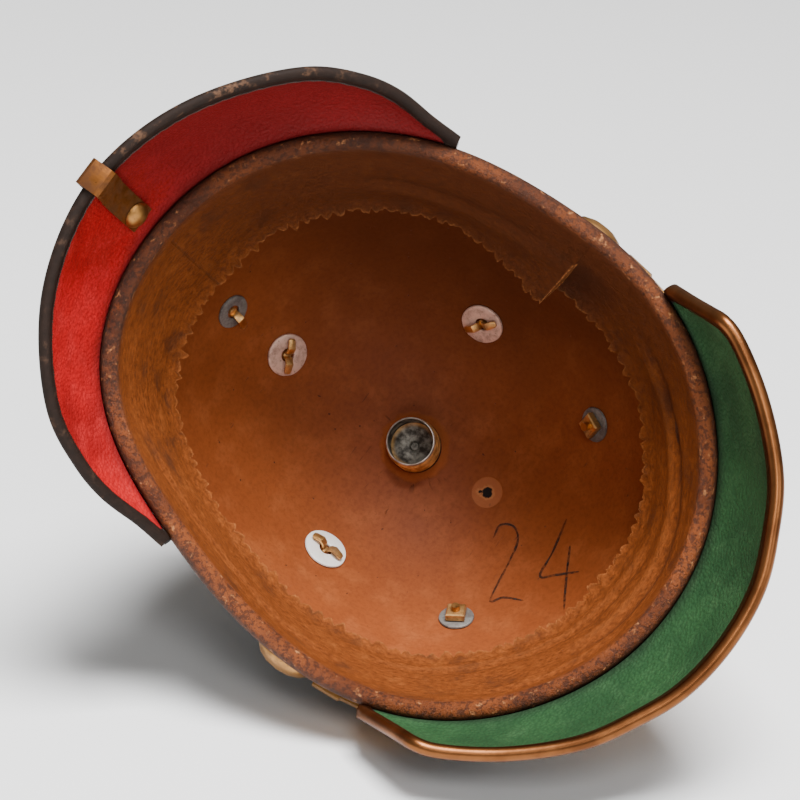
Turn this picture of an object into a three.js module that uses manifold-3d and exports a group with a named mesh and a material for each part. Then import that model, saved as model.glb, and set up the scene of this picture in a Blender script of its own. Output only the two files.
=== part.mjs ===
// Leather spiked helmet with a front visor, a neck guard and brass fittings, lying on its side.
// Millimetres. While it is built, +X is the wearer's right, +Y the front and +Z the crown,
// with the origin in the middle of the opening. At the end the helmet is laid down on +Z up.

import * as THREE from 'three';
import { mergeVertices } from 'three/addons/utils/BufferGeometryUtils.js';
import { ConvexHull } from 'three/addons/math/ConvexHull.js';
import Module from 'manifold-3d';

// Head opening and leather
const HEAD_HALF_LENGTH = 97;
const HEAD_HALF_WIDTH = 80.2;
const OVAL_POWER = 2.05;
const BAND_WALL = 1.4;
const SHELL_WALL = 2.6;
const DOME_HEIGHT = 125;
const DOME_POWER = 2.2;
const GAP = 0.3;

// Sweatband
const BAND_DEPTH = 45;
const BAND_LEAN_SIDE = 11;
const BAND_LEAN_END = 15;
const BEAD_DROP = 2.2;
const LIP_HEIGHT = 6;
const SCALLOP_DEPTH = 2.2;
const BAND_END_DEGREES = 7.5;
const BAND_END_FADE = 30;

// Visors
const VISOR_WALL = 2.4;
const VISOR_LIP = 5.5;
const VISOR_SHIFT = 0.9;
const FRONT_REACH = 22.6;
const FRONT_DROP = 38;
const FRONT_BULGE = 2.5;
const REAR_REACH = 19.2;
const REAR_DROP = 45;
const REAR_BULGE = 3;
const TRIM_LAP = 4.4;
const TRIM_WALL = 0.7;
const TRIM_BEAD = 1.5;
const BINDING_LAP = 3.6;
const BINDING_WALL = 1.1;
const BINDING_BEAD = 0.4;

// Spine strip and its rivet
const SPINE_WIDTH = 9.4;
const SPINE_WALL = 1;
const SPINE_TOP = 66;
const SPINE_HOOK = 39.5;
const HOOK_PLAY = 0.5;
const RIVET_RADIUS = 3.8;
const RIVET_HEIGHT = 2.2;
const RIVET_SHANK = 1.5;

// Spike and its base
const CROWN_AHEAD = 1;
const SPIKE_LEAN_DEGREES = 10;
const BASE_WALL = 1.2;
const BASE_ARM_WIDTH = 22;
const BASE_CENTRE_RADIUS = 27;
const NECK_RADIUS = 19;
const NECK_HEIGHT = 22;
const SPIKE_RADIUS = 11;
const SPIKE_HEIGHT = 74;
const SPIKE_TIP_RADIUS = 1.6;
const SOCKET_RADIUS = 8.6;
const SOCKET_BORE = 7.2;
const SOCKET_REACH = 12;
const THREAD_HEIGHT = 0.5;
const THREAD_PITCH = 3;

// Studs, posts, washers and nuts
const STUD_RADIUS = 5;
const STUD_HEIGHT = 3;
const STUD_SHANK = 1.5;
const PRONG_LENGTH = 8.5;
const PRONG_WIDTH = 2.8;
const PRONG_WALL = 1;
const WASHER_RADIUS = 7.2;
const SMALL_WASHER_RADIUS = 6.2;
const WASHER_WALL = 0.9;
const POST_RADIUS = 1.5;
const NUT_WIDTH = 6.6;
const NUT_HEIGHT = 2.8;
const HOLE_CLEARANCE = 0.3;

// Front plate
const PLATE_WALL = 1.2;
const PLATE_HALF_WIDTH = HEAD_HALF_WIDTH * 0.65;
const PLATE_LOW_DIAGONAL = HEAD_HALF_WIDTH * 0.55;
const PLATE_HALF_HEIGHT = DOME_HEIGHT * 0.288;
const PLATE_VALLEY = 0.68;
const PLATE_RAY_END = 5;
const PLATE_POST_MARGIN = 4;
const PLATE_CENTRE = DOME_HEIGHT * 0.496;
const PLATE_BOSS_RADIUS = 15;
const PLATE_BOSS_HEIGHT = 5;

// Chin strap
const STRAP_WALL = 1.2;
const STRAP_HEIGHT = 17;
const STRAP_TAIL = 10;
const STRAP_HALF_WIDTH_END = 9.5;
const STRAP_HALF_WIDTH_FRONT = 6;
const SCALE_WALL = 0.8;
const SCALE_CROWN = 1.3;
const SCALE_STEP = 0.7;
const SCALES_A_SIDE = 13;
const BOSS_AHEAD = 10.5;
const BOSS_RADIUS = 9.5;
const BOSS_HEIGHT = 4;
const BOSS_SHANK = 2;
const BUCKLE_WIDTH = 16;

// Weights of the materials in grams per cubic millimetre, for the balance of the lying helmet
const LEATHER_DENSITY = 0.0009;
const BRASS_DENSITY = 0.0085;

const STATIONS = 48;
const DOME_ROWS = 10;
const STATION_DEGREES = 360 / STATIONS;

const wasm = await Module();
wasm.setup();

const helmet = new THREE.Group();
helmet.name = 'helmet';

const leather = { roughness: 0.6, metalness: 0, density: LEATHER_DENSITY };
const brass = { roughness: 0.35, metalness: 1, density: BRASS_DENSITY };

function addPart(name, geometry, color, kind) {
  const shaped = geometry.index ? geometry.toNonIndexed() : geometry;
  shaped.computeVertexNormals();
  const material = new THREE.MeshStandardMaterial({
    color,
    roughness: kind.roughness,
    metalness: kind.metalness,
  });
  const mesh = new THREE.Mesh(shaped, material);
  mesh.name = name;
  mesh.userData.density = kind.density;
  helmet.add(mesh);
}

// Joining and cutting of closed solids

function toManifold(geometry) {
  const bare = geometry.clone();
  bare.deleteAttribute('normal');
  bare.deleteAttribute('uv');
  const merged = mergeVertices(bare, 1e-4);
  return new wasm.Manifold(new wasm.Mesh({
    numProp: 3,
    vertProperties: new Float32Array(merged.attributes.position.array),
    triVerts: new Uint32Array(merged.index.array),
  }));
}

function toGeometry(manifold) {
  const mesh = manifold.getMesh();
  const geometry = new THREE.BufferGeometry();
  geometry.setAttribute('position', new THREE.BufferAttribute(mesh.vertProperties, 3));
  geometry.setIndex(new THREE.BufferAttribute(mesh.triVerts, 1));
  return geometry;
}

function cut(geometry, tools) {
  let result = toManifold(geometry);
  for (const tool of tools) result = result.subtract(toManifold(tool));
  return toGeometry(result);
}

function join(geometries) {
  let result = toManifold(geometries[0]);
  for (const other of geometries.slice(1)) result = result.add(toManifold(other));
  return toGeometry(result);
}

// The biggest body of a solid, without the crumbs that a cut leaves.
function largest(manifold) {
  const bodies = manifold.decompose();
  return bodies.reduce((big, body) => (body.volume() > big.volume() ? body : big));
}

function signedVolume(geometry) {
  const flat = geometry.index ? geometry.toNonIndexed() : geometry;
  const p = flat.attributes.position;
  const a = new THREE.Vector3();
  const b = new THREE.Vector3();
  const c = new THREE.Vector3();
  let volume = 0;
  for (let i = 0; i < p.count; i += 3) {
    a.fromBufferAttribute(p, i);
    b.fromBufferAttribute(p, i + 1);
    c.fromBufferAttribute(p, i + 2);
    volume += a.dot(b.cross(c)) / 6;
  }
  return volume;
}

// A skin through loops of points. Its ends are capped by joining each point of a loop to the
// one across from it.
function loft(loops) {
  const size = loops[0].length;
  const points = loops.flat();
  const faces = [];
  for (let k = 0; k < loops.length - 1; k += 1) {
    const here = k * size;
    const next = here + size;
    for (let i = 0; i < size; i += 1) {
      const j = (i + 1) % size;
      faces.push(here + i, here + j, next + j, here + i, next + j, next + i);
    }
  }
  const end = (loops.length - 1) * size;
  for (let i = 0; i < size / 2 - 1; i += 1) {
    const j = size - 1 - i;
    faces.push(i, j, j - 1, i, j - 1, i + 1);
    faces.push(end + i, end + j - 1, end + j, end + i, end + i + 1, end + j - 1);
  }
  return fromFaces(points, faces);
}

function fromFaces(points, faces) {
  const geometry = new THREE.BufferGeometry().setFromPoints(points);
  geometry.setIndex(faces);
  if (signedVolume(geometry) < 0) {
    for (let i = 0; i < faces.length; i += 3) {
      [faces[i + 1], faces[i + 2]] = [faces[i + 2], faces[i + 1]];
    }
    geometry.setIndex(faces);
  }
  const flat = geometry.toNonIndexed();
  return mergeVertices(flat, 1e-4);
}

// The helmet's oval, and the dome that stands on it

const shellHalfWidth = HEAD_HALF_WIDTH + BAND_WALL + GAP;
const shellHalfLength = HEAD_HALF_LENGTH + BAND_WALL + GAP;
const stationLength = (Math.PI * (shellHalfWidth + shellHalfLength)) / STATIONS;

function signedPower(value, power) {
  return Math.sign(value) * Math.abs(value) ** power;
}

// Old leather has lost its true oval: where round the head, over how many degrees and how far
// the opening is pushed outwards. The dents fade towards the crown.
const ovalDents = [
  { at: 25, spread: 26, push: 2.1 },
  { at: 150, spread: 26, push: 3.3 },
  { at: 205, spread: 26, push: -4.6 },
  { at: 235, spread: 26, push: 2.5 },
  { at: 357, spread: 18, push: -1.5 },
];

function dented(point, degrees) {
  let push = 0;
  for (const dent of ovalDents) {
    const apart = THREE.MathUtils.euclideanModulo(degrees - dent.at + 180, 360) - 180;
    push += dent.push * Math.exp(-((apart / dent.spread) ** 2));
  }
  const fade = 1 - Math.max(0, point.z) / DOME_HEIGHT;
  const reach = Math.hypot(point.x, point.y) || 1;
  const grow = 1 + (push * Math.max(0, fade)) / reach;
  return reach > 1 ? point.set(point.x * grow, point.y * grow, point.z) : point;
}

// A point of the oval at a station; a station that isn't whole lies on the facet between two.
function ovalPoint(station, halfWidth, halfLength, z) {
  const low = Math.floor(station + 1e-6);
  const share = station - low;
  const at = (k) => {
    const angle = THREE.MathUtils.degToRad(k * STATION_DEGREES);
    const x = halfWidth * signedPower(Math.cos(angle), 2 / OVAL_POWER);
    const y = halfLength * signedPower(Math.sin(angle), 2 / OVAL_POWER);
    return dented(new THREE.Vector3(x, y, z), k * STATION_DEGREES);
  };
  return share < 1e-6 ? at(low) : at(low).lerp(at(low + 1), share);
}

function domeScale(height) {
  return (1 - height ** DOME_POWER) ** (1 / DOME_POWER);
}

// A point on the dome, moved outwards from the shell's inner face, at a height above the rim.
function domePoint(station, outward, z) {
  const scale = domeScale(Math.min(0.9999, Math.max(0, z) / (DOME_HEIGHT + outward)));
  return ovalPoint(
    station,
    (shellHalfWidth + outward) * scale,
    (shellHalfLength + outward) * scale,
    z,
  );
}

function domeRow(row, outward) {
  const angle = (row / DOME_ROWS) * Math.PI / 2;
  const z = (DOME_HEIGHT + outward) * Math.sin(angle) ** (2 / DOME_POWER);
  const scale = Math.cos(angle) ** (2 / DOME_POWER);
  const ring = [];
  for (let k = 0; k < STATIONS; k += 1) {
    const halfWidth = (shellHalfWidth + outward) * scale;
    const halfLength = (shellHalfLength + outward) * scale;
    ring.push(ovalPoint(k, halfWidth, halfLength, z));
  }
  return ring;
}

// A closed layer of the dome between two distances from the shell's inner face.
function domeLayer(inner, outer) {
  const points = [];
  const faces = [];
  const rings = [];
  for (let row = DOME_ROWS - 1; row >= 0; row -= 1) rings.push(domeRow(row, inner));
  for (let row = 0; row < DOME_ROWS; row += 1) rings.push(domeRow(row, outer));
  for (const ring of rings) points.push(...ring);
  for (let r = 0; r < rings.length - 1; r += 1) {
    for (let k = 0; k < STATIONS; k += 1) {
      const a = r * STATIONS + k;
      const b = r * STATIONS + (k + 1) % STATIONS;
      faces.push(a, a + STATIONS, b + STATIONS, a, b + STATIONS, b);
    }
  }
  const innerPole = points.push(new THREE.Vector3(0, 0, DOME_HEIGHT + inner)) - 1;
  const outerPole = points.push(new THREE.Vector3(0, 0, DOME_HEIGHT + outer)) - 1;
  const top = (rings.length - 1) * STATIONS;
  for (let k = 0; k < STATIONS; k += 1) {
    const next = (k + 1) % STATIONS;
    faces.push(innerPole, k, next, outerPole, top + next, top + k);
  }
  return fromFaces(points, faces);
}

const shellWhole = domeLayer(0, SHELL_WALL);

// Places on the dome's inner face, and what is set there

const innerFace = new THREE.Mesh(shellWhole, new THREE.MeshBasicMaterial({ side: THREE.DoubleSide }));

// The height of the shell's inner face over a place in the opening.
function domeHeightAt(x, y) {
  const low = -50;
  const ray = new THREE.Raycaster(new THREE.Vector3(x, y, low), new THREE.Vector3(0, 0, 1));
  return low + ray.intersectObject(innerFace)[0].distance;
}

// A frame on the dome's inner face whose +Z points into the head space.
function domeFrame(x, y, turnDegrees) {
  const step = 5;
  const slopeX = (domeHeightAt(x + step, y) - domeHeightAt(x - step, y)) / (2 * step);
  const slopeY = (domeHeightAt(x, y + step) - domeHeightAt(x, y - step)) / (2 * step);
  const inward = new THREE.Vector3(slopeX, slopeY, -1).normalize();
  const turn = THREE.MathUtils.degToRad(turnDegrees);
  const wish = new THREE.Vector3(Math.cos(turn), Math.sin(turn), 0);
  const side = wish.clone().addScaledVector(inward, -wish.dot(inward)).normalize();
  const up = new THREE.Vector3().crossVectors(inward, side);
  const frame = new THREE.Matrix4().makeBasis(side, up, inward);
  frame.setPosition(x, y, domeHeightAt(x, y));
  return frame;
}

// How far inwards a flat ring of a radius has to sit to clear the dome's inner face.
function seatDepth(frame, radius) {
  const reach = 20;
  const samples = 12;
  const inward = new THREE.Vector3().setFromMatrixColumn(frame, 2);
  const ray = new THREE.Raycaster();
  let depth = -reach;
  for (let i = 0; i < samples; i += 1) {
    const angle = (i / samples) * 2 * Math.PI;
    const start = new THREE.Vector3(radius * Math.cos(angle), radius * Math.sin(angle), reach);
    start.applyMatrix4(frame);
    ray.set(start, inward.clone().negate());
    const hit = ray.intersectObject(innerFace)[0];
    if (hit) depth = Math.max(depth, reach - hit.distance);
  }
  return depth;
}

function tube(radius, bore, low, high, sides) {
  const profile = [
    new THREE.Vector2(bore, low),
    new THREE.Vector2(radius, low),
    new THREE.Vector2(radius, high),
    new THREE.Vector2(bore, high),
    new THREE.Vector2(bore, low),
  ];
  return new THREE.LatheGeometry(profile, sides).rotateX(Math.PI / 2);
}

function rod(radius, low, high, sides) {
  const profile = [
    new THREE.Vector2(0, low),
    new THREE.Vector2(radius, low),
    new THREE.Vector2(radius, high),
    new THREE.Vector2(0, high),
  ];
  return new THREE.LatheGeometry(profile, sides).rotateX(Math.PI / 2);
}

// A round head that bulges towards -Z from a flat seat.
function roundHead(radius, height, seat, sides) {
  const rows = [
    { out: 0, up: 1 },
    { out: 0.45, up: 0.88 },
    { out: 0.8, up: 0.55 },
    { out: 1, up: 0.12 },
    { out: 1, up: 0 },
    { out: 0, up: 0 },
  ];
  const profile = rows.map((row) => new THREE.Vector2(row.out * radius, seat - row.up * height));
  return new THREE.LatheGeometry(profile, sides).rotateX(Math.PI / 2);
}

// Shell with its holes

// Places as shares of the head's half width and half length, turns and lifts in degrees.
const studs = [
  { name: 'right', side: 0.605, ahead: -0.052, turn: 27, washer: WASHER_RADIUS, prongs: 2, lift: 62 },
  { name: 'left', side: -0.613, ahead: -0.021, turn: 94, washer: WASHER_RADIUS, prongs: 2, lift: 66 },
  { name: 'rear', side: -0.02, ahead: -0.561, turn: 142, washer: WASHER_RADIUS, prongs: 2, lift: 60 },
  { name: 'front', side: 0.025, ahead: 0.325, turn: 0, washer: 0, prongs: 0, lift: 0 },
  { name: 'spine', side: -0.022, ahead: -0.79, turn: 97, washer: SMALL_WASHER_RADIUS, prongs: 1, lift: 50 },
];
const posts = [
  { name: 'post_right', side: 0.529, ahead: 0.498, turn: 25 },
  { name: 'post_left', side: -0.511, ahead: 0.51, turn: 65 },
];
for (const fixing of [...studs, ...posts]) {
  fixing.x = fixing.side * HEAD_HALF_WIDTH;
  fixing.y = fixing.ahead * HEAD_HALF_LENGTH;
  fixing.frame = domeFrame(fixing.x, fixing.y, fixing.turn);
}

// The crown frame: its +Z points outwards along the spike's axis.
const crownFrame = new THREE.Matrix4().makeRotationX(-THREE.MathUtils.degToRad(SPIKE_LEAN_DEGREES));
crownFrame.setPosition(0, CROWN_AHEAD, DOME_HEIGHT);

// The boss frames: their +Z points outwards through the shell's side.
const bossStation = BOSS_AHEAD / stationLength;
const bosses = [
  { name: 'right', station: bossStation },
  { name: 'left', station: STATIONS / 2 - bossStation },
];
for (const boss of bosses) {
  const before = domePoint(boss.station - 0.5, SHELL_WALL, STRAP_HEIGHT);
  const after = domePoint(boss.station + 0.5, SHELL_WALL, STRAP_HEIGHT);
  const along = after.sub(before).normalize();
  const outward = new THREE.Vector3(along.y, -along.x, 0);
  boss.frame = new THREE.Matrix4().makeBasis(along, new THREE.Vector3(0, 0, 1), outward);
  boss.frame.setPosition(domePoint(boss.station, SHELL_WALL, STRAP_HEIGHT));
}

const socketHole = rod(SOCKET_RADIUS + THREAD_HEIGHT + 0.8, -30, 30, 28).applyMatrix4(crownFrame);
const shellTools = [socketHole];
for (const stud of studs) {
  shellTools.push(rod(STUD_SHANK + HOLE_CLEARANCE, -12, 12, 10).applyMatrix4(stud.frame));
}
for (const post of posts) {
  shellTools.push(rod(POST_RADIUS + HOLE_CLEARANCE, -12, 12, 10).applyMatrix4(post.frame));
}
for (const boss of bosses) {
  shellTools.push(rod(BOSS_SHANK + HOLE_CLEARANCE, -8, 8, 10).applyMatrix4(boss.frame));
}
addPart('shell', cut(shellWhole, shellTools), '#9a4c26', leather);

// Sweatband: rolled over the shell's edge, leaning inwards, with a scalloped deep edge

const lipOut = BAND_WALL + GAP + SHELL_WALL + GAP + BAND_WALL;
const bandSection = [
  { out: 0, lean: 0.72, up: 0.74 },
  { out: 0, lean: 0.4, up: 0.47 },
  { out: 0, lean: 0.13, up: 0.22 },
  { out: 0, lean: 0, up: 0 },
];
const beadSection = [
  { out: 0.16, drop: 0.75 },
  { out: 0.5, drop: 1 },
  { out: 0.84, drop: 0.75 },
  { out: 1, drop: 0 },
];

// The ply that the band's overlapping end adds on its inner face, largest at the cut end.
function endStep(station) {
  const past = THREE.MathUtils.euclideanModulo(BAND_END_DEGREES - station * STATION_DEGREES, 360);
  return past > BAND_END_FADE ? 0 : BAND_WALL * 0.8 * (1 - past / BAND_END_FADE);
}

function bandPoint(station, out, lean, z) {
  return ovalPoint(
    station,
    HEAD_HALF_WIDTH + out - BAND_LEAN_SIDE * lean,
    HEAD_HALF_LENGTH + out - BAND_LEAN_END * lean,
    z,
  );
}

function sweatband() {
  const stops = [];
  for (let k = 0; k < STATIONS; k += 1) {
    stops.push({ station: k, step: endStep(k) });
    if (Math.abs(k * STATION_DEGREES - BAND_END_DEGREES) < 0.01) {
      stops.push({ station: k + 0.06, step: endStep(k + 0.06) });
    }
  }
  const innerTop = (stop, share, lift) => bandPoint(
    stop.station,
    -stop.step * share,
    1,
    BAND_DEPTH - SCALLOP_DEPTH + lift,
  );
  const outerTop = (stop, lift) => bandPoint(
    stop.station,
    BAND_WALL,
    1,
    BAND_DEPTH - SCALLOP_DEPTH + lift,
  );
  const loops = stops.map((stop) => {
    const loop = [outerTop(stop, 0), innerTop(stop, 1, 0)];
    for (const row of bandSection) {
      const step = row.lean > 0 ? stop.step : 0;
      loop.push(bandPoint(stop.station, -step, row.lean, row.up * BAND_DEPTH));
    }
    for (const row of beadSection) {
      loop.push(bandPoint(stop.station, row.out * lipOut, 0, -row.drop * BEAD_DROP));
    }
    loop.push(bandPoint(stop.station, lipOut, 0, LIP_HEIGHT));
    loop.push(bandPoint(stop.station, lipOut - BAND_WALL, 0, LIP_HEIGHT));
    loop.push(bandPoint(stop.station, lipOut - BAND_WALL, 0, -GAP));
    loop.push(bandPoint(stop.station, BAND_WALL, 0, -GAP));
    for (const row of bandSection.slice(0, -1).reverse()) {
      loop.push(bandPoint(stop.station, BAND_WALL, row.lean, row.up * BAND_DEPTH));
    }
    return loop;
  });
  const size = loops[0].length;
  const points = loops.flat();
  const faces = [];
  const scallop = [
    { along: 0.13, rise: 0.75 },
    { along: 0.37, rise: 0.75 },
    { along: 0.5, rise: 0 },
    { along: 0.63, rise: 0.75 },
    { along: 0.87, rise: 0.75 },
  ];
  for (let k = 0; k < loops.length; k += 1) {
    const here = k * size;
    const next = ((k + 1) % loops.length) * size;
    for (let i = 2; i < size - 1; i += 1) {
      faces.push(here + i, here + i + 1, next + i + 1, here + i, next + i + 1, next + i);
    }
    // The top of the wall, with two scallops between one station and the next.
    const from = stops[k];
    const to = stops[(k + 1) % stops.length];
    const span = (to.station - from.station + STATIONS) % STATIONS;
    const outer = [here];
    const inner = [here + 1];
    for (const tooth of span < 0.5 ? [] : scallop) {
      const stop = {
        station: from.station + span * tooth.along,
        step: from.step + (to.step - from.step) * tooth.along,
      };
      const lift = tooth.rise * SCALLOP_DEPTH;
      outer.push(points.push(outerTop(stop, lift)) - 1);
      inner.push(points.push(innerTop(stop, 1, lift)) - 1);
    }
    outer.push(next);
    inner.push(next + 1);
    for (let i = 0; i < outer.length - 1; i += 1) {
      faces.push(outer[i], inner[i], inner[i + 1], outer[i], inner[i + 1], outer[i + 1]);
      faces.push(here + size - 1, outer[i], outer[i + 1]);
      faces.push(here + 2, inner[i + 1], inner[i]);
    }
    faces.push(here + size - 1, next, next + size - 1);
    faces.push(here + 2, next + 2, next + 1);
  }
  return fromFaces(points, faces);
}

addPart('sweatband', sweatband(), '#8a5227', leather);

// Visors: a lip against the rolled edge, then a curved leaf out to the edge curve

const visorSeat = lipOut + GAP + VISOR_WALL / 2;
const visorHalfSpan = 9;

function visorEdge(rows, sign, reach, drop) {
  const point = (row, side) => {
    const x = side * row.side * (HEAD_HALF_WIDTH + visorSeat) + VISOR_SHIFT * row.reach;
    const y = sign * (row.ahead * (HEAD_HALF_LENGTH + visorSeat) + row.reach * reach);
    const degrees = THREE.MathUtils.radToDeg(Math.atan2(y / HEAD_HALF_LENGTH, x / HEAD_HALF_WIDTH));
    return dented(new THREE.Vector3(x, y, -row.drop * drop), degrees);
  };
  const right = rows.map((row) => point(row, 1)).reverse();
  const left = rows.slice(1).map((row) => point(row, -1));
  return new THREE.CatmullRomCurve3([...right, ...left], false, 'centripetal');
}

const frontEdgeRows = [
  { side: 0, ahead: 1, reach: 0.757, drop: 1 },
  { side: 0.228, ahead: 0.98, reach: 0.74, drop: 0.99 },
  { side: 0.407, ahead: 0.92, reach: 0.72, drop: 0.98 },
  { side: 0.574, ahead: 0.83, reach: 0.735, drop: 0.96 },
  { side: 0.764, ahead: 0.66, reach: 0.7, drop: 0.91 },
  { side: 0.888, ahead: 0.53, reach: 0.47, drop: 0.87 },
  { side: 0.904, ahead: 0.5, reach: 0.37, drop: 0.84 },
  { side: 0.908, ahead: 0.485, reach: 0.26, drop: 0.72 },
  { side: 0.916, ahead: 0.455, reach: 0.12, drop: 0.45 },
  { side: 0.932, ahead: 0.393, reach: 0, drop: 0.05 },
];
const rearEdgeRows = [
  { side: 0, ahead: 1, reach: 0.805, drop: 1 },
  { side: 0.249, ahead: 0.97, reach: 0.785, drop: 0.98 },
  { side: 0.496, ahead: 0.87, reach: 0.82, drop: 0.91 },
  { side: 0.76, ahead: 0.71, reach: 0.756, drop: 0.75 },
  { side: 0.864, ahead: 0.6, reach: 0.624, drop: 0.58 },
  { side: 0.908, ahead: 0.53, reach: 0.45, drop: 0.4 },
  { side: 0.918, ahead: 0.46, reach: 0.15, drop: 0.2 },
  { side: 0.932, ahead: 0.393, reach: 0, drop: 0.04 },
];

// One row of the leaf's middle surface, from the top of the lip out to the edge. The share
// runs from the wearer's right end of the visor to the left one.
function leafRow(leaf, share) {
  const station = leaf.middle + leaf.sign * (share - 0.5) * 2 * visorHalfSpan;
  const lipTop = ovalPoint(
    station,
    HEAD_HALF_WIDTH + visorSeat,
    HEAD_HALF_LENGTH + visorSeat,
    VISOR_LIP,
  );
  const root = lipTop.clone().setZ(-BEAD_DROP * 0.4);
  const edge = leaf.edge.getPointAt(share);
  const chord = edge.clone().sub(root);
  const up = new THREE.Vector3().crossVectors(chord, leaf.edge.getTangentAt(share)).normalize();
  if (up.z < 0) up.negate();
  const bulge = Math.min(1, chord.length() / 25) * leaf.bulge;
  const at = (t) => root.clone().addScaledVector(chord, t).addScaledVector(up, 4 * t * (1 - t) * bulge);
  return [lipTop, root, at(0.33), at(0.67), edge];
}

// The leaf's rows and the unit normals of its upper side: a row at each station, and at each
// half station near the ends, where the edge turns sharply.
function leafSurface(leaf) {
  const halves = visorHalfSpan * 4;
  const shares = [];
  for (let i = 0; i <= halves; i += 1) {
    const nearEnd = Math.min(i, halves - i) < 7;
    if (nearEnd || i % 2 === 0) shares.push(i / halves);
  }
  const grid = shares.map((share) => leafRow(leaf, share));
  const last = grid.length - 1;
  const normals = grid.map((row, i) => row.map((point, j) => {
    const ahead = grid[Math.min(i + 1, last)][j];
    const behind = grid[Math.max(i - 1, 0)][j];
    const out = row[Math.min(j + 1, row.length - 1)];
    const back = row[Math.max(j - 1, 0)];
    const across = j === 1 ? out.clone().sub(point) : out.clone().sub(back);
    const along = ahead.clone().sub(behind);
    const normal = new THREE.Vector3().crossVectors(along, across).normalize();
    const outside = new THREE.Vector3(point.x, point.y, 0).normalize().setZ(1);
    if (normal.dot(outside) < 0) normal.negate();
    return j === 0 ? normal.setZ(0).normalize() : normal;
  }));
  return { grid, normals };
}

function leafSolid(surface, wall) {
  const loops = surface.grid.map((row, i) => {
    const normals = surface.normals[i];
    const upper = row.map((p, j) => p.clone().addScaledVector(normals[j], wall / 2));
    const lower = row.map((p, j) => p.clone().addScaledVector(normals[j], -wall / 2));
    return [...upper, ...lower.reverse()];
  });
  return loft(loops);
}

// A channel that wraps the leaf's edge: an outline of rows given by the distance inwards from
// the edge and the height over the leaf's middle surface. It follows the leaf's own facets.
function edgeChannel(surface, section) {
  const bare = surface.grid.map((row, i) => {
    const edge = row[row.length - 1];
    const inner = row[row.length - 2];
    const edgeNormal = surface.normals[i][row.length - 1];
    const innerNormal = surface.normals[i][row.length - 2];
    const room = edge.distanceTo(inner);
    return section.map((point) => {
      const share = Math.min(1, point.in / room);
      const normal = edgeNormal.clone().lerp(innerNormal, Math.max(0, share)).normalize();
      return edge.clone().lerp(inner, share).addScaledVector(normal, point.up);
    });
  });
  // The visor's sewn ends are left bare, because the rolled rim covers them.
  const channel = toManifold(loft(bare.slice(1, -1)));
  const room = toManifold(leafSolid(surface, VISOR_WALL + 1.8 * GAP));
  return toGeometry(largest(channel.subtract(room)));
}

function channelSection(lap, wall, bead) {
  const inside = VISOR_WALL / 2 + GAP;
  const outside = inside + wall;
  const end = -GAP - wall - bead;
  return [
    { in: lap, up: outside },
    { in: end + bead * 0.5, up: outside + bead * 0.4 },
    { in: end, up: 0 },
    { in: end + bead * 0.5, up: -outside - bead * 0.4 },
    { in: lap, up: -outside },
    { in: lap, up: -inside },
    { in: -GAP, up: -inside },
    { in: -GAP, up: 0 },
    { in: -GAP, up: inside },
    { in: lap, up: inside },
  ];
}

const frontSurface = leafSurface({
  sign: 1,
  middle: STATIONS / 4,
  edge: visorEdge(frontEdgeRows, 1, FRONT_REACH, FRONT_DROP),
  bulge: FRONT_BULGE,
});
addPart('front_visor', leafSolid(frontSurface, VISOR_WALL), '#2f5c3c', leather);
const trim = edgeChannel(frontSurface, channelSection(TRIM_LAP, TRIM_WALL, TRIM_BEAD));
addPart('front_visor_trim', trim, '#a2683a', brass);

const rearSurface = leafSurface({
  sign: -1,
  middle: (3 * STATIONS) / 4,
  edge: visorEdge(rearEdgeRows, -1, REAR_REACH, REAR_DROP),
  bulge: REAR_BULGE,
});

// Spine strip: down the back, over the neck guard, round its edge and back underneath

function atBack(point) {
  return new THREE.Vector2(point.y, point.z);
}

const rearMiddle = (rearSurface.grid.length - 1) / 2;
const rearRow = rearSurface.grid[rearMiddle].map(atBack);
const rearNormals = rearSurface.normals[rearMiddle].map(atBack);
const overEdge = VISOR_WALL / 2 + GAP + BINDING_WALL + BINDING_BEAD * 0.4 + GAP * 1.5;

// The guard's edge curves away across the strip's width, so the hook has some play there.
const underEdge = overEdge + HOOK_PLAY;

function spinePath() {
  const path = [];
  const topHeights = [0, 0.2, 0.4, 0.6, 0.8, 1];
  const low = LIP_HEIGHT + 12;
  const high = domeHeightAt(0, -SPINE_TOP);
  for (const share of topHeights) {
    const z = high + (low - high) * share;
    path.push(atBack(domePoint((3 * STATIONS) / 4, SHELL_WALL + GAP * 1.5, z)));
  }
  for (let j = 0; j < rearRow.length; j += 1) {
    const share = j / (rearRow.length - 1);
    const rise = VISOR_WALL / 2 + GAP * 2 + (overEdge - VISOR_WALL / 2 - GAP * 2) * share ** 2;
    path.push(rearRow[j].clone().addScaledVector(rearNormals[j], rise));
  }
  return path;
}

// The spots of the neck guard's middle row, by distance from its edge.
function backFromEdge(distance) {
  let left = distance;
  for (let j = rearRow.length - 1; j > 0; j -= 1) {
    const length = rearRow[j].distanceTo(rearRow[j - 1]);
    if (left <= length) {
      const share = left / length;
      return {
        point: rearRow[j].clone().lerp(rearRow[j - 1], share),
        normal: rearNormals[j].clone().lerp(rearNormals[j - 1], share).normalize(),
      };
    }
    left -= length;
  }
  return { point: rearRow[1].clone(), normal: rearNormals[1].clone() };
}

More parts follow.
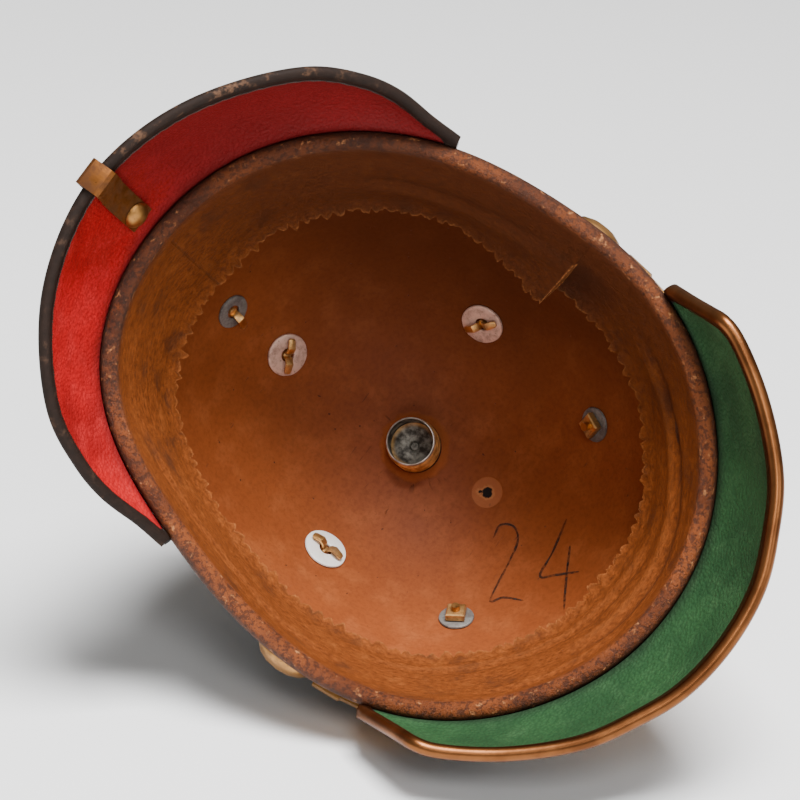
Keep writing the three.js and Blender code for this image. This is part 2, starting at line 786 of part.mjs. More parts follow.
function spineStrip() {
  const inner = spinePath();
  const tip = backFromEdge(0);
  const outward = rearRow[rearRow.length - 1].clone().sub(rearRow[rearRow.length - 2]).normalize();
  const reach = GAP + BINDING_WALL + BINDING_BEAD + GAP;
  const round = 0.3;
  const hookCorners = [
    { out: reach - round, up: overEdge },
    { out: reach, up: overEdge - round },
    { out: reach, up: round - underEdge },
    { out: reach - round, up: -underEdge },
  ];
  for (const corner of hookCorners) {
    const spot = tip.point.clone().addScaledVector(outward, corner.out);
    inner.push(spot.addScaledVector(tip.normal, corner.up));
  }
  const hookRows = [
    { back: 0, rise: underEdge },
    { back: BINDING_LAP + 1.5, rise: underEdge },
    { back: SPINE_HOOK * 0.35, rise: VISOR_WALL / 2 + GAP * 3 },
    { back: SPINE_HOOK * 0.7, rise: VISOR_WALL / 2 + GAP * 2 },
    { back: SPINE_HOOK, rise: VISOR_WALL / 2 + GAP * 2 },
  ];
  for (const row of hookRows) {
    const spot = backFromEdge(row.back);
    inner.push(spot.point.addScaledVector(spot.normal, -row.rise));
  }
  const outer = inner.map((point, i) => {
    const before = inner[Math.max(0, i - 1)];
    const after = inner[Math.min(inner.length - 1, i + 1)];
    const along = after.clone().sub(before).normalize();
    return point.clone().add(new THREE.Vector2(along.y, -along.x).multiplyScalar(SPINE_WALL));
  });
  const loop = [...inner, ...outer.reverse()];
  const loops = [-0.5, 0.5].map((side) => loop.map(
    (p) => new THREE.Vector3(side * SPINE_WIDTH, p.x, p.y),
  ));
  return loft(loops);
}

const rivetSpot = backFromEdge(SPINE_HOOK - RIVET_RADIUS - 1.2);
const rivetIn = new THREE.Vector3(0, -rivetSpot.normal.x, -rivetSpot.normal.y);
const rivetAcross = new THREE.Vector3(1, 0, 0);
const rivetFrame = new THREE.Matrix4().makeBasis(
  rivetAcross,
  new THREE.Vector3().crossVectors(rivetIn, rivetAcross),
  rivetIn,
);
rivetFrame.setPosition(0, rivetSpot.point.x, rivetSpot.point.y);
const rivetTool = () => rod(RIVET_SHANK + HOLE_CLEARANCE, -9, 9, 12).applyMatrix4(rivetFrame);

const underStrip = VISOR_WALL / 2 + GAP * 4 + SPINE_WALL;
const overStrip = overEdge + SPINE_WALL + GAP;
const rivet = join([
  rod(RIVET_SHANK, -overStrip - 0.5, underStrip + 0.5, 12),
  roundHead(RIVET_RADIUS, RIVET_HEIGHT, 0, 16).rotateX(Math.PI).translate(0, 0, underStrip),
  rod(RIVET_RADIUS * 0.6, -overStrip - 0.8, -overStrip, 12),
]).applyMatrix4(rivetFrame);
addPart('spine_rivet', rivet, '#b5894a', brass);

const spineStud = studs.find((stud) => stud.name === 'spine');
const spineTools = [
  rivetTool(),
  rod(STUD_SHANK + HOLE_CLEARANCE, -12, 12, 10).applyMatrix4(spineStud.frame),
];
addPart('rear_spine', cut(spineStrip(), spineTools), '#a87b42', brass);
addPart('rear_visor', cut(leafSolid(rearSurface, VISOR_WALL), [rivetTool()]), '#b01c22', leather);
const binding = edgeChannel(rearSurface, channelSection(BINDING_LAP, BINDING_WALL, BINDING_BEAD));
addPart('rear_visor_binding', binding, '#231a16', leather);

// Spike base: four arms that follow the dome and a neck, soldered together

const baseLift = SHELL_WALL + GAP;
const outlineLow = DOME_HEIGHT * 0.48;
const outlineHigh = DOME_HEIGHT * 1.2;

function armOutline(length, turnDegrees) {
  const half = BASE_ARM_WIDTH / 2;
  const shape = new THREE.Shape();
  shape.moveTo(0, -half * 1.35);
  shape.lineTo(length - half * 0.9, -half * 0.8);
  shape.absarc(length - half * 0.9, 0, half * 0.8, -Math.PI / 2, Math.PI / 2, false);
  shape.lineTo(0, half * 1.35);
  shape.closePath();
  const depth = outlineHigh - outlineLow;
  const block = new THREE.ExtrudeGeometry(shape, { depth, bevelEnabled: false, curveSegments: 5 });
  return block.rotateZ(THREE.MathUtils.degToRad(turnDegrees)).translate(0, CROWN_AHEAD, outlineLow);
}

const armEnd = STUD_RADIUS + 3;
const armOutlines = studs.filter((stud) => stud.name !== 'spine').map((stud) => {
  const turn = THREE.MathUtils.radToDeg(Math.atan2(stud.y - CROWN_AHEAD, stud.x));
  const length = Math.hypot(stud.x, stud.y - CROWN_AHEAD) + armEnd;
  return armOutline(length, turn);
});
const centreDisc = rod(BASE_CENTRE_RADIUS, outlineLow, outlineHigh, 24).translate(0, CROWN_AHEAD, 0);
const baseLayer = toManifold(domeLayer(baseLift, baseLift + BASE_WALL));
const baseOutline = toManifold(join([...armOutlines, centreDisc]));
const basePlate = toGeometry(baseLayer.intersect(baseOutline));

const neckProfile = [
  { out: 0.92, up: -0.02 },
  { out: 1, up: 0.1 },
  { out: 0.84, up: 0.22 },
  { out: 0.72, up: 0.5 },
  { out: 0.66, up: 0.78 },
  { out: 0.76, up: 0.86 },
  { out: 0.76, up: 1 },
];
const neckLow = baseLift + BASE_WALL * 0.5;
const neckOuter = neckProfile.map((row) => new THREE.Vector2(
  row.out * NECK_RADIUS,
  neckLow + row.up * NECK_HEIGHT,
));
const neckBore = SOCKET_RADIUS + THREAD_HEIGHT + 0.5;
const neck = new THREE.LatheGeometry([
  ...neckOuter,
  new THREE.Vector2(neckBore, neckLow + NECK_HEIGHT),
  new THREE.Vector2(neckBore, neckLow - 0.02 * NECK_HEIGHT),
  neckOuter[0].clone(),
], 20).rotateX(Math.PI / 2).applyMatrix4(crownFrame);
const underBase = domeLayer(-DOME_HEIGHT / 2, baseLift);
const baseTools = [socketHole, underBase];
for (const stud of studs) {
  baseTools.push(rod(STUD_SHANK + HOLE_CLEARANCE, -12, 12, 10).applyMatrix4(stud.frame));
}
const spikeBase = cut(join([basePlate, neck]), baseTools);
addPart('spike_base', spikeBase, '#b08a4c', brass);

// Spike: a collar that sits on the neck and a plain cone with a round tip

const spikeLow = neckLow + NECK_HEIGHT + GAP;
const spikeRows = [
  { out: 0, up: 0 },
  { out: 1.14, up: 0 },
  { out: 1.18, up: 0.03 },
  { out: 1.14, up: 0.06 },
  { out: 0.98, up: 0.075 },
  { out: 0.86, up: 0.2 },
  { out: 0.62, up: 0.5 },
  { out: 0.36, up: 0.8 },
];
const spikeProfile = spikeRows.map((row) => new THREE.Vector2(
  row.out * SPIKE_RADIUS,
  spikeLow + row.up * SPIKE_HEIGHT,
));
spikeProfile.push(new THREE.Vector2(SPIKE_TIP_RADIUS, spikeLow + SPIKE_HEIGHT - SPIKE_TIP_RADIUS));
spikeProfile.push(new THREE.Vector2(SPIKE_TIP_RADIUS * 0.6, spikeLow + SPIKE_HEIGHT - 0.4));
spikeProfile.push(new THREE.Vector2(0, spikeLow + SPIKE_HEIGHT));
const spike = new THREE.LatheGeometry(spikeProfile, 20).rotateX(Math.PI / 2).applyMatrix4(crownFrame);
addPart('spike', spike, '#b08a4c', brass);

// Socket: a threaded tube through the crown, closed above, open towards the head

function socketProfile() {
  const low = -SOCKET_REACH;
  const high = spikeLow - GAP * 2;
  const profile = [
    new THREE.Vector2(SOCKET_BORE, low),
    new THREE.Vector2(SOCKET_RADIUS + 0.4, low),
    new THREE.Vector2(SOCKET_RADIUS + 0.4, low + 1.6),
    new THREE.Vector2(SOCKET_RADIUS, low + 2),
  ];
  const turns = Math.floor((SOCKET_REACH - 3) / THREAD_PITCH);
  for (let i = 0; i < turns; i += 1) {
    const base = low + 2.6 + i * THREAD_PITCH;
    profile.push(new THREE.Vector2(SOCKET_RADIUS, base));
    profile.push(new THREE.Vector2(SOCKET_RADIUS + THREAD_HEIGHT, base + THREAD_PITCH * 0.3));
    profile.push(new THREE.Vector2(SOCKET_RADIUS, base + THREAD_PITCH * 0.6));
  }
  profile.push(new THREE.Vector2(SOCKET_RADIUS, high));
  profile.push(new THREE.Vector2(0, high));
  profile.push(new THREE.Vector2(0, high - 1.2));
  profile.push(new THREE.Vector2(SOCKET_BORE, high - 1.2));
  profile.push(new THREE.Vector2(SOCKET_BORE, low));
  return profile;
}

const socket = new THREE.LatheGeometry(socketProfile(), 20).rotateX(Math.PI / 2).applyMatrix4(crownFrame);
addPart('spike_socket', socket, '#8f8272', brass);

// Studs, washers, posts and nuts

function prong(side, lift, top) {
  const box = new THREE.BoxGeometry(PRONG_LENGTH, PRONG_WIDTH, PRONG_WALL);
  box.translate(PRONG_LENGTH / 2, 0, PRONG_WALL / 2);
  box.rotateY(-THREE.MathUtils.degToRad(90 - lift));
  if (side < 0) box.rotateZ(Math.PI);
  return box.translate(-side * PRONG_WALL * 0.5, 0, top);
}

for (const stud of studs) {
  const seat = stud.name === 'spine' ? -(SHELL_WALL + 2 * GAP + SPINE_WALL) : -(baseLift + BASE_WALL);
  const headSeat = seat - GAP;
  const washerLow = stud.washer ? seatDepth(stud.frame, stud.washer) + GAP * 0.5 : 0;
  const washerTop = washerLow + WASHER_WALL;
  const shankTop = stud.prongs ? washerTop + 1.1 : -SHELL_WALL * 0.4;
  const pieces = [
    roundHead(STUD_RADIUS, STUD_HEIGHT, headSeat, 14),
    rod(STUD_SHANK, headSeat - 0.4, shankTop, 10),
  ];
  if (stud.prongs > 0) pieces.push(prong(1, stud.lift, washerTop + GAP));
  if (stud.prongs > 1) pieces.push(prong(-1, stud.lift, washerTop + GAP));
  const name = stud.name === 'spine' ? 'spine_stud' : `base_stud_${stud.name}`;
  addPart(name, join(pieces).applyMatrix4(stud.frame), '#9c6c38', brass);
  if (stud.washer) {
    const ring = tube(stud.washer, STUD_SHANK + HOLE_CLEARANCE + 0.3, washerLow, washerTop, 16);
    const color = stud.name === 'left' ? '#d8d0c4' : '#8c7468';
    addPart(`washer_${stud.name}`, ring.applyMatrix4(stud.frame), color, brass);
  }
}

const plateLift = SHELL_WALL + GAP;

// A ray of the plate that reaches out over a post.
function rayOver(post) {
  const foot = new THREE.Vector3(0, 0, -plateLift).applyMatrix4(post.frame);
  const x = foot.x;
  const up = foot.z - PLATE_CENTRE;
  return { turn: THREE.MathUtils.radToDeg(Math.atan2(up, x)), reach: Math.hypot(x, up) + PLATE_POST_MARGIN };
}

function plateOutline() {
  const rays = [
    { turn: 0, reach: PLATE_HALF_WIDTH },
    rayOver(posts[0]),
    { turn: 90, reach: PLATE_HALF_HEIGHT },
    rayOver(posts[1]),
    { turn: 180, reach: PLATE_HALF_WIDTH },
    { turn: 225, reach: PLATE_LOW_DIAGONAL },
    { turn: 270, reach: PLATE_HALF_HEIGHT },
    { turn: 315, reach: PLATE_LOW_DIAGONAL },
  ];
  const shape = new THREE.Shape();
  rays.forEach((ray, i) => {
    const turn = THREE.MathUtils.degToRad(ray.turn);
    const next = rays[(i + 1) % rays.length];
    const nextTurn = next.turn < ray.turn ? next.turn + 360 : next.turn;
    const valley = THREE.MathUtils.degToRad((ray.turn + nextTurn) / 2);
    const low = PLATE_VALLEY * Math.min(ray.reach, next.reach);
    const x = ray.reach * Math.cos(turn);
    const y = ray.reach * Math.sin(turn);
    const move = i === 0 ? 'moveTo' : 'lineTo';
    shape[move](x + PLATE_RAY_END * Math.sin(turn), y - PLATE_RAY_END * Math.cos(turn));
    shape.lineTo(x * 1.06, y * 1.06);
    shape.lineTo(x - PLATE_RAY_END * Math.sin(turn), y + PLATE_RAY_END * Math.cos(turn));
    shape.lineTo(low * Math.cos(valley), low * Math.sin(valley));
  });
  shape.closePath();
  const depth = HEAD_HALF_LENGTH * 1.4;
  const block = new THREE.ExtrudeGeometry(shape, { depth, bevelEnabled: false });
  return block.rotateX(Math.PI / 2).translate(0, HEAD_HALF_LENGTH * 1.5, PLATE_CENTRE);
}

const plateLayer = toManifold(domeLayer(plateLift, plateLift + PLATE_WALL));
const platePieces = [toGeometry(plateLayer.intersect(toManifold(plateOutline())))];
const plateFront = domePoint(STATIONS / 4, plateLift, PLATE_CENTRE);
const plateTilt = Math.atan2(plateFront.z, plateFront.y * 2.2);
const plateBoss = new THREE.LatheGeometry([
  new THREE.Vector2(0, -2.5),
  new THREE.Vector2(PLATE_BOSS_RADIUS, -2.5),
  new THREE.Vector2(PLATE_BOSS_RADIUS, PLATE_BOSS_HEIGHT * 0.3),
  new THREE.Vector2(PLATE_BOSS_RADIUS * 0.75, PLATE_BOSS_HEIGHT * 0.75),
  new THREE.Vector2(PLATE_BOSS_RADIUS * 0.35, PLATE_BOSS_HEIGHT),
  new THREE.Vector2(0, PLATE_BOSS_HEIGHT),
], 24);
plateBoss.rotateX(plateTilt);
plateBoss.translate(plateFront.x, plateFront.y, plateFront.z);
const behindPlate = toManifold(domeLayer(-40, plateLift));
platePieces.push(toGeometry(toManifold(plateBoss).subtract(behindPlate)));

for (const post of posts) {
  const washerLow = seatDepth(post.frame, SMALL_WASHER_RADIUS) + GAP * 0.5;
  const washerTop = washerLow + WASHER_WALL;
  const nutLow = washerTop + GAP;
  const nutTop = nutLow + NUT_HEIGHT;
  const outer = -(plateLift + PLATE_WALL * 0.6);
  platePieces.push(rod(POST_RADIUS, outer, nutTop + 1.6, 12).applyMatrix4(post.frame));
  const ring = tube(SMALL_WASHER_RADIUS, POST_RADIUS + HOLE_CLEARANCE, washerLow, washerTop, 16);
  addPart(`washer_${post.name}`, ring.applyMatrix4(post.frame), '#7d7870', brass);
  const block = new THREE.BoxGeometry(NUT_WIDTH, NUT_WIDTH, NUT_HEIGHT);
  block.translate(0, 0, nutLow + NUT_HEIGHT / 2);
  const bored = cut(block, [rod(POST_RADIUS + HOLE_CLEARANCE, -12, 12, 12)]);
  addPart(post.name.replace('post', 'nut'), bored.applyMatrix4(post.frame), '#8a6a3c', brass);
}
addPart('helmet_plate', join(platePieces), '#b48c4c', brass);

// Chin strap: leather backing from boss to boss round the front, with convex scales on it

const strapMiddle = STATIONS / 4;

function strapHalfWidth(station) {
  const share = Math.min(1, Math.abs(station - strapMiddle) / (strapMiddle - bossStation));
  return STRAP_HALF_WIDTH_FRONT + (STRAP_HALF_WIDTH_END - STRAP_HALF_WIDTH_FRONT) * share;
}

// Rows across the strap at a station, at a distance from the shell, crowned in the middle.
function acrossStrap(station, outward, crown, halfWidth) {
  const rows = [
    { across: -1, crown: 0 },
    { across: -0.5, crown: 0.8 },
    { across: 0, crown: 1 },
    { across: 0.5, crown: 0.8 },
    { across: 1, crown: 0 },
  ];
  return rows.map((row) => domePoint(
    station,
    outward + row.crown * crown,
    STRAP_HEIGHT + row.across * halfWidth,
  ));
}

const strapLift = SHELL_WALL + GAP * 1.5;

function strapBacking() {
  const loops = [];
  const first = bossStation - STRAP_TAIL / stationLength;
  const last = STATIONS / 2 - first;
  const roundEnd = [
    { along: 0, width: 0.4 },
    { along: 0.12, width: 0.78 },
    { along: 0.4, width: 1 },
  ];
  const tail = bossStation - first;
  const stops = roundEnd.map((row) => ({ station: first + row.along * tail, width: row.width }));
  for (let k = Math.ceil(first + 0.5 * tail); k <= last - 0.5 * tail; k += 1) {
    stops.push({ station: k, width: 1 });
  }
  for (const row of roundEnd.reverse()) {
    stops.push({ station: last - row.along * tail, width: row.width });
  }
  for (const { station, width } of stops) {
    const half = strapHalfWidth(station) * width;
    const outer = acrossStrap(station, strapLift + STRAP_WALL, 0, half);
    const inner = acrossStrap(station, strapLift, 0, half);
    loops.push([...outer, ...inner.reverse()]);
  }
  return loft(loops);
}

const bossTools = bosses.map((boss) => (
  rod(BOSS_SHANK + HOLE_CLEARANCE, -8, 12, 12).applyMatrix4(boss.frame)
));
addPart('chin_strap', cut(strapBacking(), bossTools), '#4a3020', leather);

function scaleRun(from, to) {
  const loops = [];
  const lift = strapLift + STRAP_WALL + GAP * 2;
  for (let i = 0; i < SCALES_A_SIDE; i += 1) {
    for (const end of [0.04, 0.96]) {
      const station = from + ((to - from) * (i + end)) / SCALES_A_SIDE;
      const half = strapHalfWidth(station) - 0.6;
      const rise = end * SCALE_STEP;
      const outer = acrossStrap(station, lift + rise + SCALE_WALL, SCALE_CROWN, half);
      const inner = acrossStrap(station, lift, SCALE_CROWN * 0.6, half);
      loops.push([...outer, ...inner.reverse()]);
    }
  }
  return loft(loops);
}

const scaleStart = bossStation + (BOSS_RADIUS + GAP) / stationLength;
const scaleStop = strapMiddle - (BUCKLE_WIDTH / 2 + GAP) / stationLength;
addPart('chin_scales_right', scaleRun(scaleStart, scaleStop), '#a9803f', brass);
addPart('chin_scales_left', scaleRun(STATIONS / 2 - scaleStart, STATIONS / 2 - scaleStop), '#a9803f', brass);

for (const boss of bosses) {
  const seat = STRAP_WALL + GAP * 3.5;
  const dome = roundHead(BOSS_RADIUS, BOSS_HEIGHT, -seat, 20).rotateX(Math.PI);
  const shank = rod(BOSS_SHANK, -SHELL_WALL - 0.4, seat + 0.8, 12);
  addPart(`strap_boss_${boss.name}`, join([dome, shank]).applyMatrix4(boss.frame), '#a9803f', brass);
}

// Buckle: a plain plate bent to the strap at the front centre
function buckle() {
  const loops = [];
  const lift = strapLift + STRAP_WALL + GAP;
  const halfSpan = BUCKLE_WIDTH / 2 / stationLength;
  for (const share of [-1, -0.5, 0, 0.5, 1]) {
    const station = strapMiddle + share * halfSpan;
    const half = STRAP_HALF_WIDTH_FRONT + 2;
    const outer = acrossStrap(station, lift + 1.6, 0, half);
    const inner = acrossStrap(station, lift, 0, half);
    loops.push([...outer, ...inner.reverse()]);
  }
  return loft(loops);
}
addPart('strap_buckle', buckle(), '#a9803f', brass);

// Laying down: the helmet rests on the face of its convex hull that lies under its weight.

function balancePoint() {
  const centre = new THREE.Vector3();
  const corners = [new THREE.Vector3(), new THREE.Vector3(), new THREE.Vector3()];
  let weight = 0;
  for (const mesh of helmet.children) {
    const p = mesh.geometry.attributes.position;
    for (let i = 0; i < p.count; i += 3) {
      corners.forEach((corner, j) => corner.fromBufferAttribute(p, i + j));
      const [a, b, c] = corners;
      const part = (a.dot(new THREE.Vector3().crossVectors(b, c)) / 6) * mesh.userData.density;
      centre.addScaledVector(a, part / 4).addScaledVector(b, part / 4).addScaledVector(c, part / 4);
      weight += part;
    }
  }
  return { centre: centre.divideScalar(weight), weight };
}

const balance = balancePoint();

function restingFace() {
  const hull = new ConvexHull().setFromObject(helmet);
  let best = null;
  for (const face of hull.faces) {
    const normal = face.normal.clone();
    const onFace = face.midpoint.clone();
    const height = normal.dot(onFace) - normal.dot(balance.centre);
    const foot = balance.centre.clone().addScaledVector(normal, height);
    let inside = Infinity;
    let edge = face.edge;
    do {
      const head = edge.head().point;
      const tail = edge.tail().point;
      const along = head.clone().sub(tail);
      const inward = new THREE.Vector3().crossVectors(normal, along).normalize();
      inside = Math.min(inside, foot.clone().sub(tail).dot(inward));
      edge = edge.next;
    } while (edge !== face.edge);
    const leftSide = normal.x < -0.5 && normal.z > 0;
    if (leftSide && inside > 0 && (!best || height < best.height)) {
      best = { normal, height, inside, face };
    }
  }
  return best;
}

const rest = restingFace();
const down = new THREE.Vector3(0, 0, -1);
const lay = new THREE.Quaternion().setFromUnitVectors(rest.normal, down);
const opening = new THREE.Vector3(0, 0, -1).applyQuaternion(lay);
const yaw = new THREE.Quaternion().setFromAxisAngle(
  new THREE.Vector3(0, 0, 1),
  -Math.PI / 2 - Math.atan2(opening.y, opening.x),
);
helmet.quaternion.copy(yaw.multiply(lay));
helmet.updateMatrixWorld(true);
const box = new THREE.Box3().setFromObject(helmet, true);
helmet.position.set(-(box.min.x + box.max.x) / 2, -(box.min.y + box.max.y) / 2, -box.min.z);

const pickelhaube = new THREE.Group();
pickelhaube.name = 'pickelhaube';
pickelhaube.add(helmet);

export default pickelhaube;
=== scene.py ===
import math

import bmesh
import bpy
import numpy as np
from mathutils import Matrix, Vector, noise


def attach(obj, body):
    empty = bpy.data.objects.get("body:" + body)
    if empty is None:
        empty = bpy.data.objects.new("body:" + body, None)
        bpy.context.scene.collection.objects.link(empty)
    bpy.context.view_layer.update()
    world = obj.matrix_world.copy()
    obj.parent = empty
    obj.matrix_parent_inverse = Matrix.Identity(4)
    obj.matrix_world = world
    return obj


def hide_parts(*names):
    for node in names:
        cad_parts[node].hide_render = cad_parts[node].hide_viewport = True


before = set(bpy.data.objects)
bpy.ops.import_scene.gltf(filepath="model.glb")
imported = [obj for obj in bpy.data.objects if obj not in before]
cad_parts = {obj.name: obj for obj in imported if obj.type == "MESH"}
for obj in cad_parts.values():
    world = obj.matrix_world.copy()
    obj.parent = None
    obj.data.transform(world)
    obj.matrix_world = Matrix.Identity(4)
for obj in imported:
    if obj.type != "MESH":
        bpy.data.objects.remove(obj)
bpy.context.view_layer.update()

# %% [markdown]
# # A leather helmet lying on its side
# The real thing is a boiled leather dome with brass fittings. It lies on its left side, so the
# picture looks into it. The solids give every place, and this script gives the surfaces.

# %% [markdown]
# ## Sizes
# The same named sizes as the solids, in millimetres, in the helmet's own frame: +X the wearer's
# right, +Y the front, +Z the crown, and the origin in the middle of the opening.

# %% Sizes
HEAD_HALF_LENGTH = 97
HEAD_HALF_WIDTH = 80.2
OVAL_POWER = 2.05
BAND_WALL = 1.4
SHELL_WALL = 2.6
DOME_HEIGHT = 125
DOME_POWER = 2.2
GAP = 0.3
BAND_DEPTH = 45
BAND_LEAN_SIDE = 11
BAND_LEAN_END = 15
BEAD_DROP = 2.2
LIP_HEIGHT = 6
SCALLOP_DEPTH = 2.2
SCALLOPS = 112
BAND_END_DEGREES = 7.5
BAND_END_FADE = 30
VISOR_WALL = 2.4
VISOR_LIP = 5.5
VISOR_SHIFT = 0.9
VISOR_HALF_SPAN = 67.5
FRONT_REACH = 22.6
FRONT_DROP = 38
FRONT_BULGE = 2.5
REAR_REACH = 19.2
REAR_DROP = 45
REAR_BULGE = 3
CROWN_AHEAD = 1
SPIKE_LEAN_DEGREES = 10
SOCKET_RADIUS = 8.6
SOCKET_BORE = 8.05
SOCKET_REACH = 12
THREAD_HEIGHT = 0.7
THREAD_PITCH = 3
SHELL_HALF_WIDTH = HEAD_HALF_WIDTH + BAND_WALL + GAP
SHELL_HALF_LENGTH = HEAD_HALF_LENGTH + BAND_WALL + GAP
LIP_OUT = BAND_WALL + GAP + SHELL_WALL + GAP + BAND_WALL
VISOR_SEAT = LIP_OUT + GAP + VISOR_WALL / 2

# Where the helmet's own axes point once it lies on its side, and where its origin goes.
LAY = np.array((
    (0.53839, 0.84270, 0.0),
    (0.34605, -0.22109, 0.91179),
    (0.76837, -0.49090, -0.41065),
))
LAY_ORIGIN = np.array((-0.382, -61.573, 101.323))
print("opening", 2 * HEAD_HALF_WIDTH, "by", 2 * HEAD_HALF_LENGTH, "mm, dome", DOME_HEIGHT, "mm deep")

# %% [markdown]
# ## The oval and the dome
# Old leather loses its true oval, so the opening has a few soft dents, which fade towards the
# crown. Everything else is placed by these functions, so it all fits.

# %% The oval and the dome
OVAL_DENTS = [
    {"at": 25, "spread": 26, "push": 2.1},
    {"at": 150, "spread": 26, "push": 3.3},
    {"at": 205, "spread": 26, "push": -4.6},
    {"at": 235, "spread": 26, "push": 2.5},
    {"at": 357, "spread": 18, "push": -1.5},
]


def to_row(points):
    return (np.asarray(points, float) @ LAY.T + LAY_ORIGIN) / 1000


def dent_factor(degrees, reach, z):
    push = 0.0
    for dent in OVAL_DENTS:
        apart = (degrees - dent["at"] + 180) % 360 - 180
        push += dent["push"] * math.exp(-((apart / dent["spread"]) ** 2))
    fade = max(0.0, 1 - max(0.0, z) / DOME_HEIGHT)
    return 1 + push * fade / max(reach, 1.0)


def oval(degrees, half_width, half_length, z):
    c, s = math.cos(math.radians(degrees)), math.sin(math.radians(degrees))
    x = half_width * math.copysign(abs(c) ** (2 / OVAL_POWER), c)
    y = half_length * math.copysign(abs(s) ** (2 / OVAL_POWER), s)
    reach = math.hypot(x, y)
    grow = dent_factor(degrees, reach, z) if reach > 1 else 1
    return np.array((x * grow, y * grow, z))


def dome_height(x, y, outward=0.0):
    """The height of the dome's face over a place in the opening."""
    degrees = math.degrees(math.atan2(y / SHELL_HALF_LENGTH, x / SHELL_HALF_WIDTH))
    z, grow = DOME_HEIGHT * 0.8, 1.0
    for _ in range(6):
        grow = dent_factor(degrees, math.hypot(x, y), z)
        share = abs(x / grow / (SHELL_HALF_WIDTH + outward)) ** OVAL_POWER
        share += abs(y / grow / (SHELL_HALF_LENGTH + outward)) ** OVAL_POWER
        scale = min(0.9999, share ** (1 / OVAL_POWER))
        z = (DOME_HEIGHT + outward) * (1 - scale ** DOME_POWER) ** (1 / DOME_POWER)
    return z


def dome_frame(x, y, turn_degrees):
    """A frame on the dome's inner face whose third axis points into the head space."""
    step = 5
    slope_x = (dome_height(x + step, y) - dome_height(x - step, y)) / (2 * step)
    slope_y = (dome_height(x, y + step) - dome_height(x, y - step)) / (2 * step)
    inward = np.array((slope_x, slope_y, -1.0))
    inward /= np.linalg.norm(inward)
    turn = math.radians(turn_degrees)
    wish = np.array((math.cos(turn), math.sin(turn), 0.0))
    side = wish - inward * (wish @ inward)
    side /= np.linalg.norm(side)
    return np.column_stack((side, np.cross(inward, side), inward)), np.array((x, y, dome_height(x, y)))


lean = math.radians(SPIKE_LEAN_DEGREES)
CROWN_AXES = np.array((
    (1, 0, 0),
    (0, math.cos(lean), math.sin(lean)),
    (0, -math.sin(lean), math.cos(lean)),
))
CROWN_HOLE = np.array((0.0, CROWN_AHEAD, DOME_HEIGHT))
CROWN = (CROWN_AXES, CROWN_HOLE)


def placed(frame_at, points):
    axes, origin = frame_at
    return np.asarray(points, float) @ axes.T + origin


print("dome over a place halfway to the side", round(dome_height(HEAD_HALF_WIDTH / 2, 0), 1), "mm")

# %% [markdown]
# ## Building meshes
# One function turns points into a finished piece. Each piece keeps its place in the helmet's
# own frame as an attribute, so that wear and painted shade can be put where they belong.

# %% Building meshes
def make(name, points, faces, materials, nodes, kinds=None, attributes=None, sharp=35, bevel=0):
    """A finished piece: its parts take the materials by kind, and its sharp edges may be eased."""
    points = np.asarray(points, float)
    mesh = bpy.data.meshes.new(name)
    mesh.from_pydata([tuple(p) for p in to_row(points)], [], [tuple(f) for f in faces])
    for material in materials:
        mesh.materials.append(material)
    if kinds is not None:
        mesh.polygons.foreach_set("material_index", np.asarray(kinds, dtype=np.int32))
    place = mesh.attributes.new("place", "FLOAT_VECTOR", "POINT")
    place.data.foreach_set("vector", points.ravel())
    for key, values in (attributes or {}).items():
        layer = mesh.attributes.new(key, "FLOAT", "POINT")
        layer.data.foreach_set("value", np.asarray(values, dtype=float))
    work = bmesh.new()
    work.from_mesh(mesh)
    bmesh.ops.recalc_face_normals(work, faces=work.faces)
    if bevel:
        edges = [e for e in work.edges if e.is_manifold and e.calc_face_angle() > math.radians(sharp)]
        bmesh.ops.bevel(work, geom=edges, offset=bevel / 1000, affect="EDGES", segments=2,
                        profile=0.5, material=-1, clamp_overlap=True)
    work.to_mesh(mesh)
    work.free()
    mesh.shade_smooth()
    mesh.set_sharp_from_angle(angle=math.radians(sharp))
    piece = bpy.data.objects.new(name, mesh)
    bpy.context.scene.collection.objects.link(piece)
    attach(piece, "root")
    if nodes:
        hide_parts(*nodes)
    return piece


def grid_faces(rows, columns, closed=False):
    faces = []
    for r in range(rows - 1):
        for c in range(columns if closed else columns - 1):
            d = (c + 1) % columns
            a, b = r * columns, (r + 1) * columns
            faces.append((a + c, a + d, b + d, b + c))
    return faces


def ring_solid(loops, closed_run=False):
    """Faces over loops of points, capped at the ends unless the run is closed."""
    size, count = len(loops[0]), len(loops)
    faces = []
    for k in range(count if closed_run else count - 1):
        here, there = k * size, (k + 1) % count * size
        faces += [(here + i, here + (i + 1) % size, there + (i + 1) % size, there + i) for i in range(size)]
    if not closed_run:
        faces.append(tuple(range(size)))
        faces.append(tuple((count - 1) * size + i for i in range(size)))
    return np.concatenate(loops), faces


def lathe(profile, turns=40):
    """A closed solid turned round the third axis: (radius, height) pairs from axis to axis."""
    points, faces = [], []
    ring = []
    for radius, height in profile:
        if radius < 1e-6:
            ring.append([len(points)] * turns)
            points.append((0, 0, height))
        else:
            ring.append([len(points) + i for i in range(turns)])
            for i in range(turns):
                a = 2 * math.pi * i / turns
                points.append((radius * math.cos(a), radius * math.sin(a), height))
    for low, high in zip(ring[:-1], ring[1:]):
        for i in range(turns):
            j = (i + 1) % turns
            face = list(dict.fromkeys((low[i], low[j], high[j], high[i])))
            if len(face) > 2:
                faces.append(face)
    return np.array(points, float), faces


def merged(parts):
    points, faces, kinds, start = [], [], [], 0
    for part_points, part_faces, kind in parts:
        points.append(np.asarray(part_points, float))
        faces += [tuple(i + start for i in f) for f in part_faces]
        kinds += [kind] * len(part_faces)
        start += len(part_points)
    return np.concatenate(points), faces, kinds


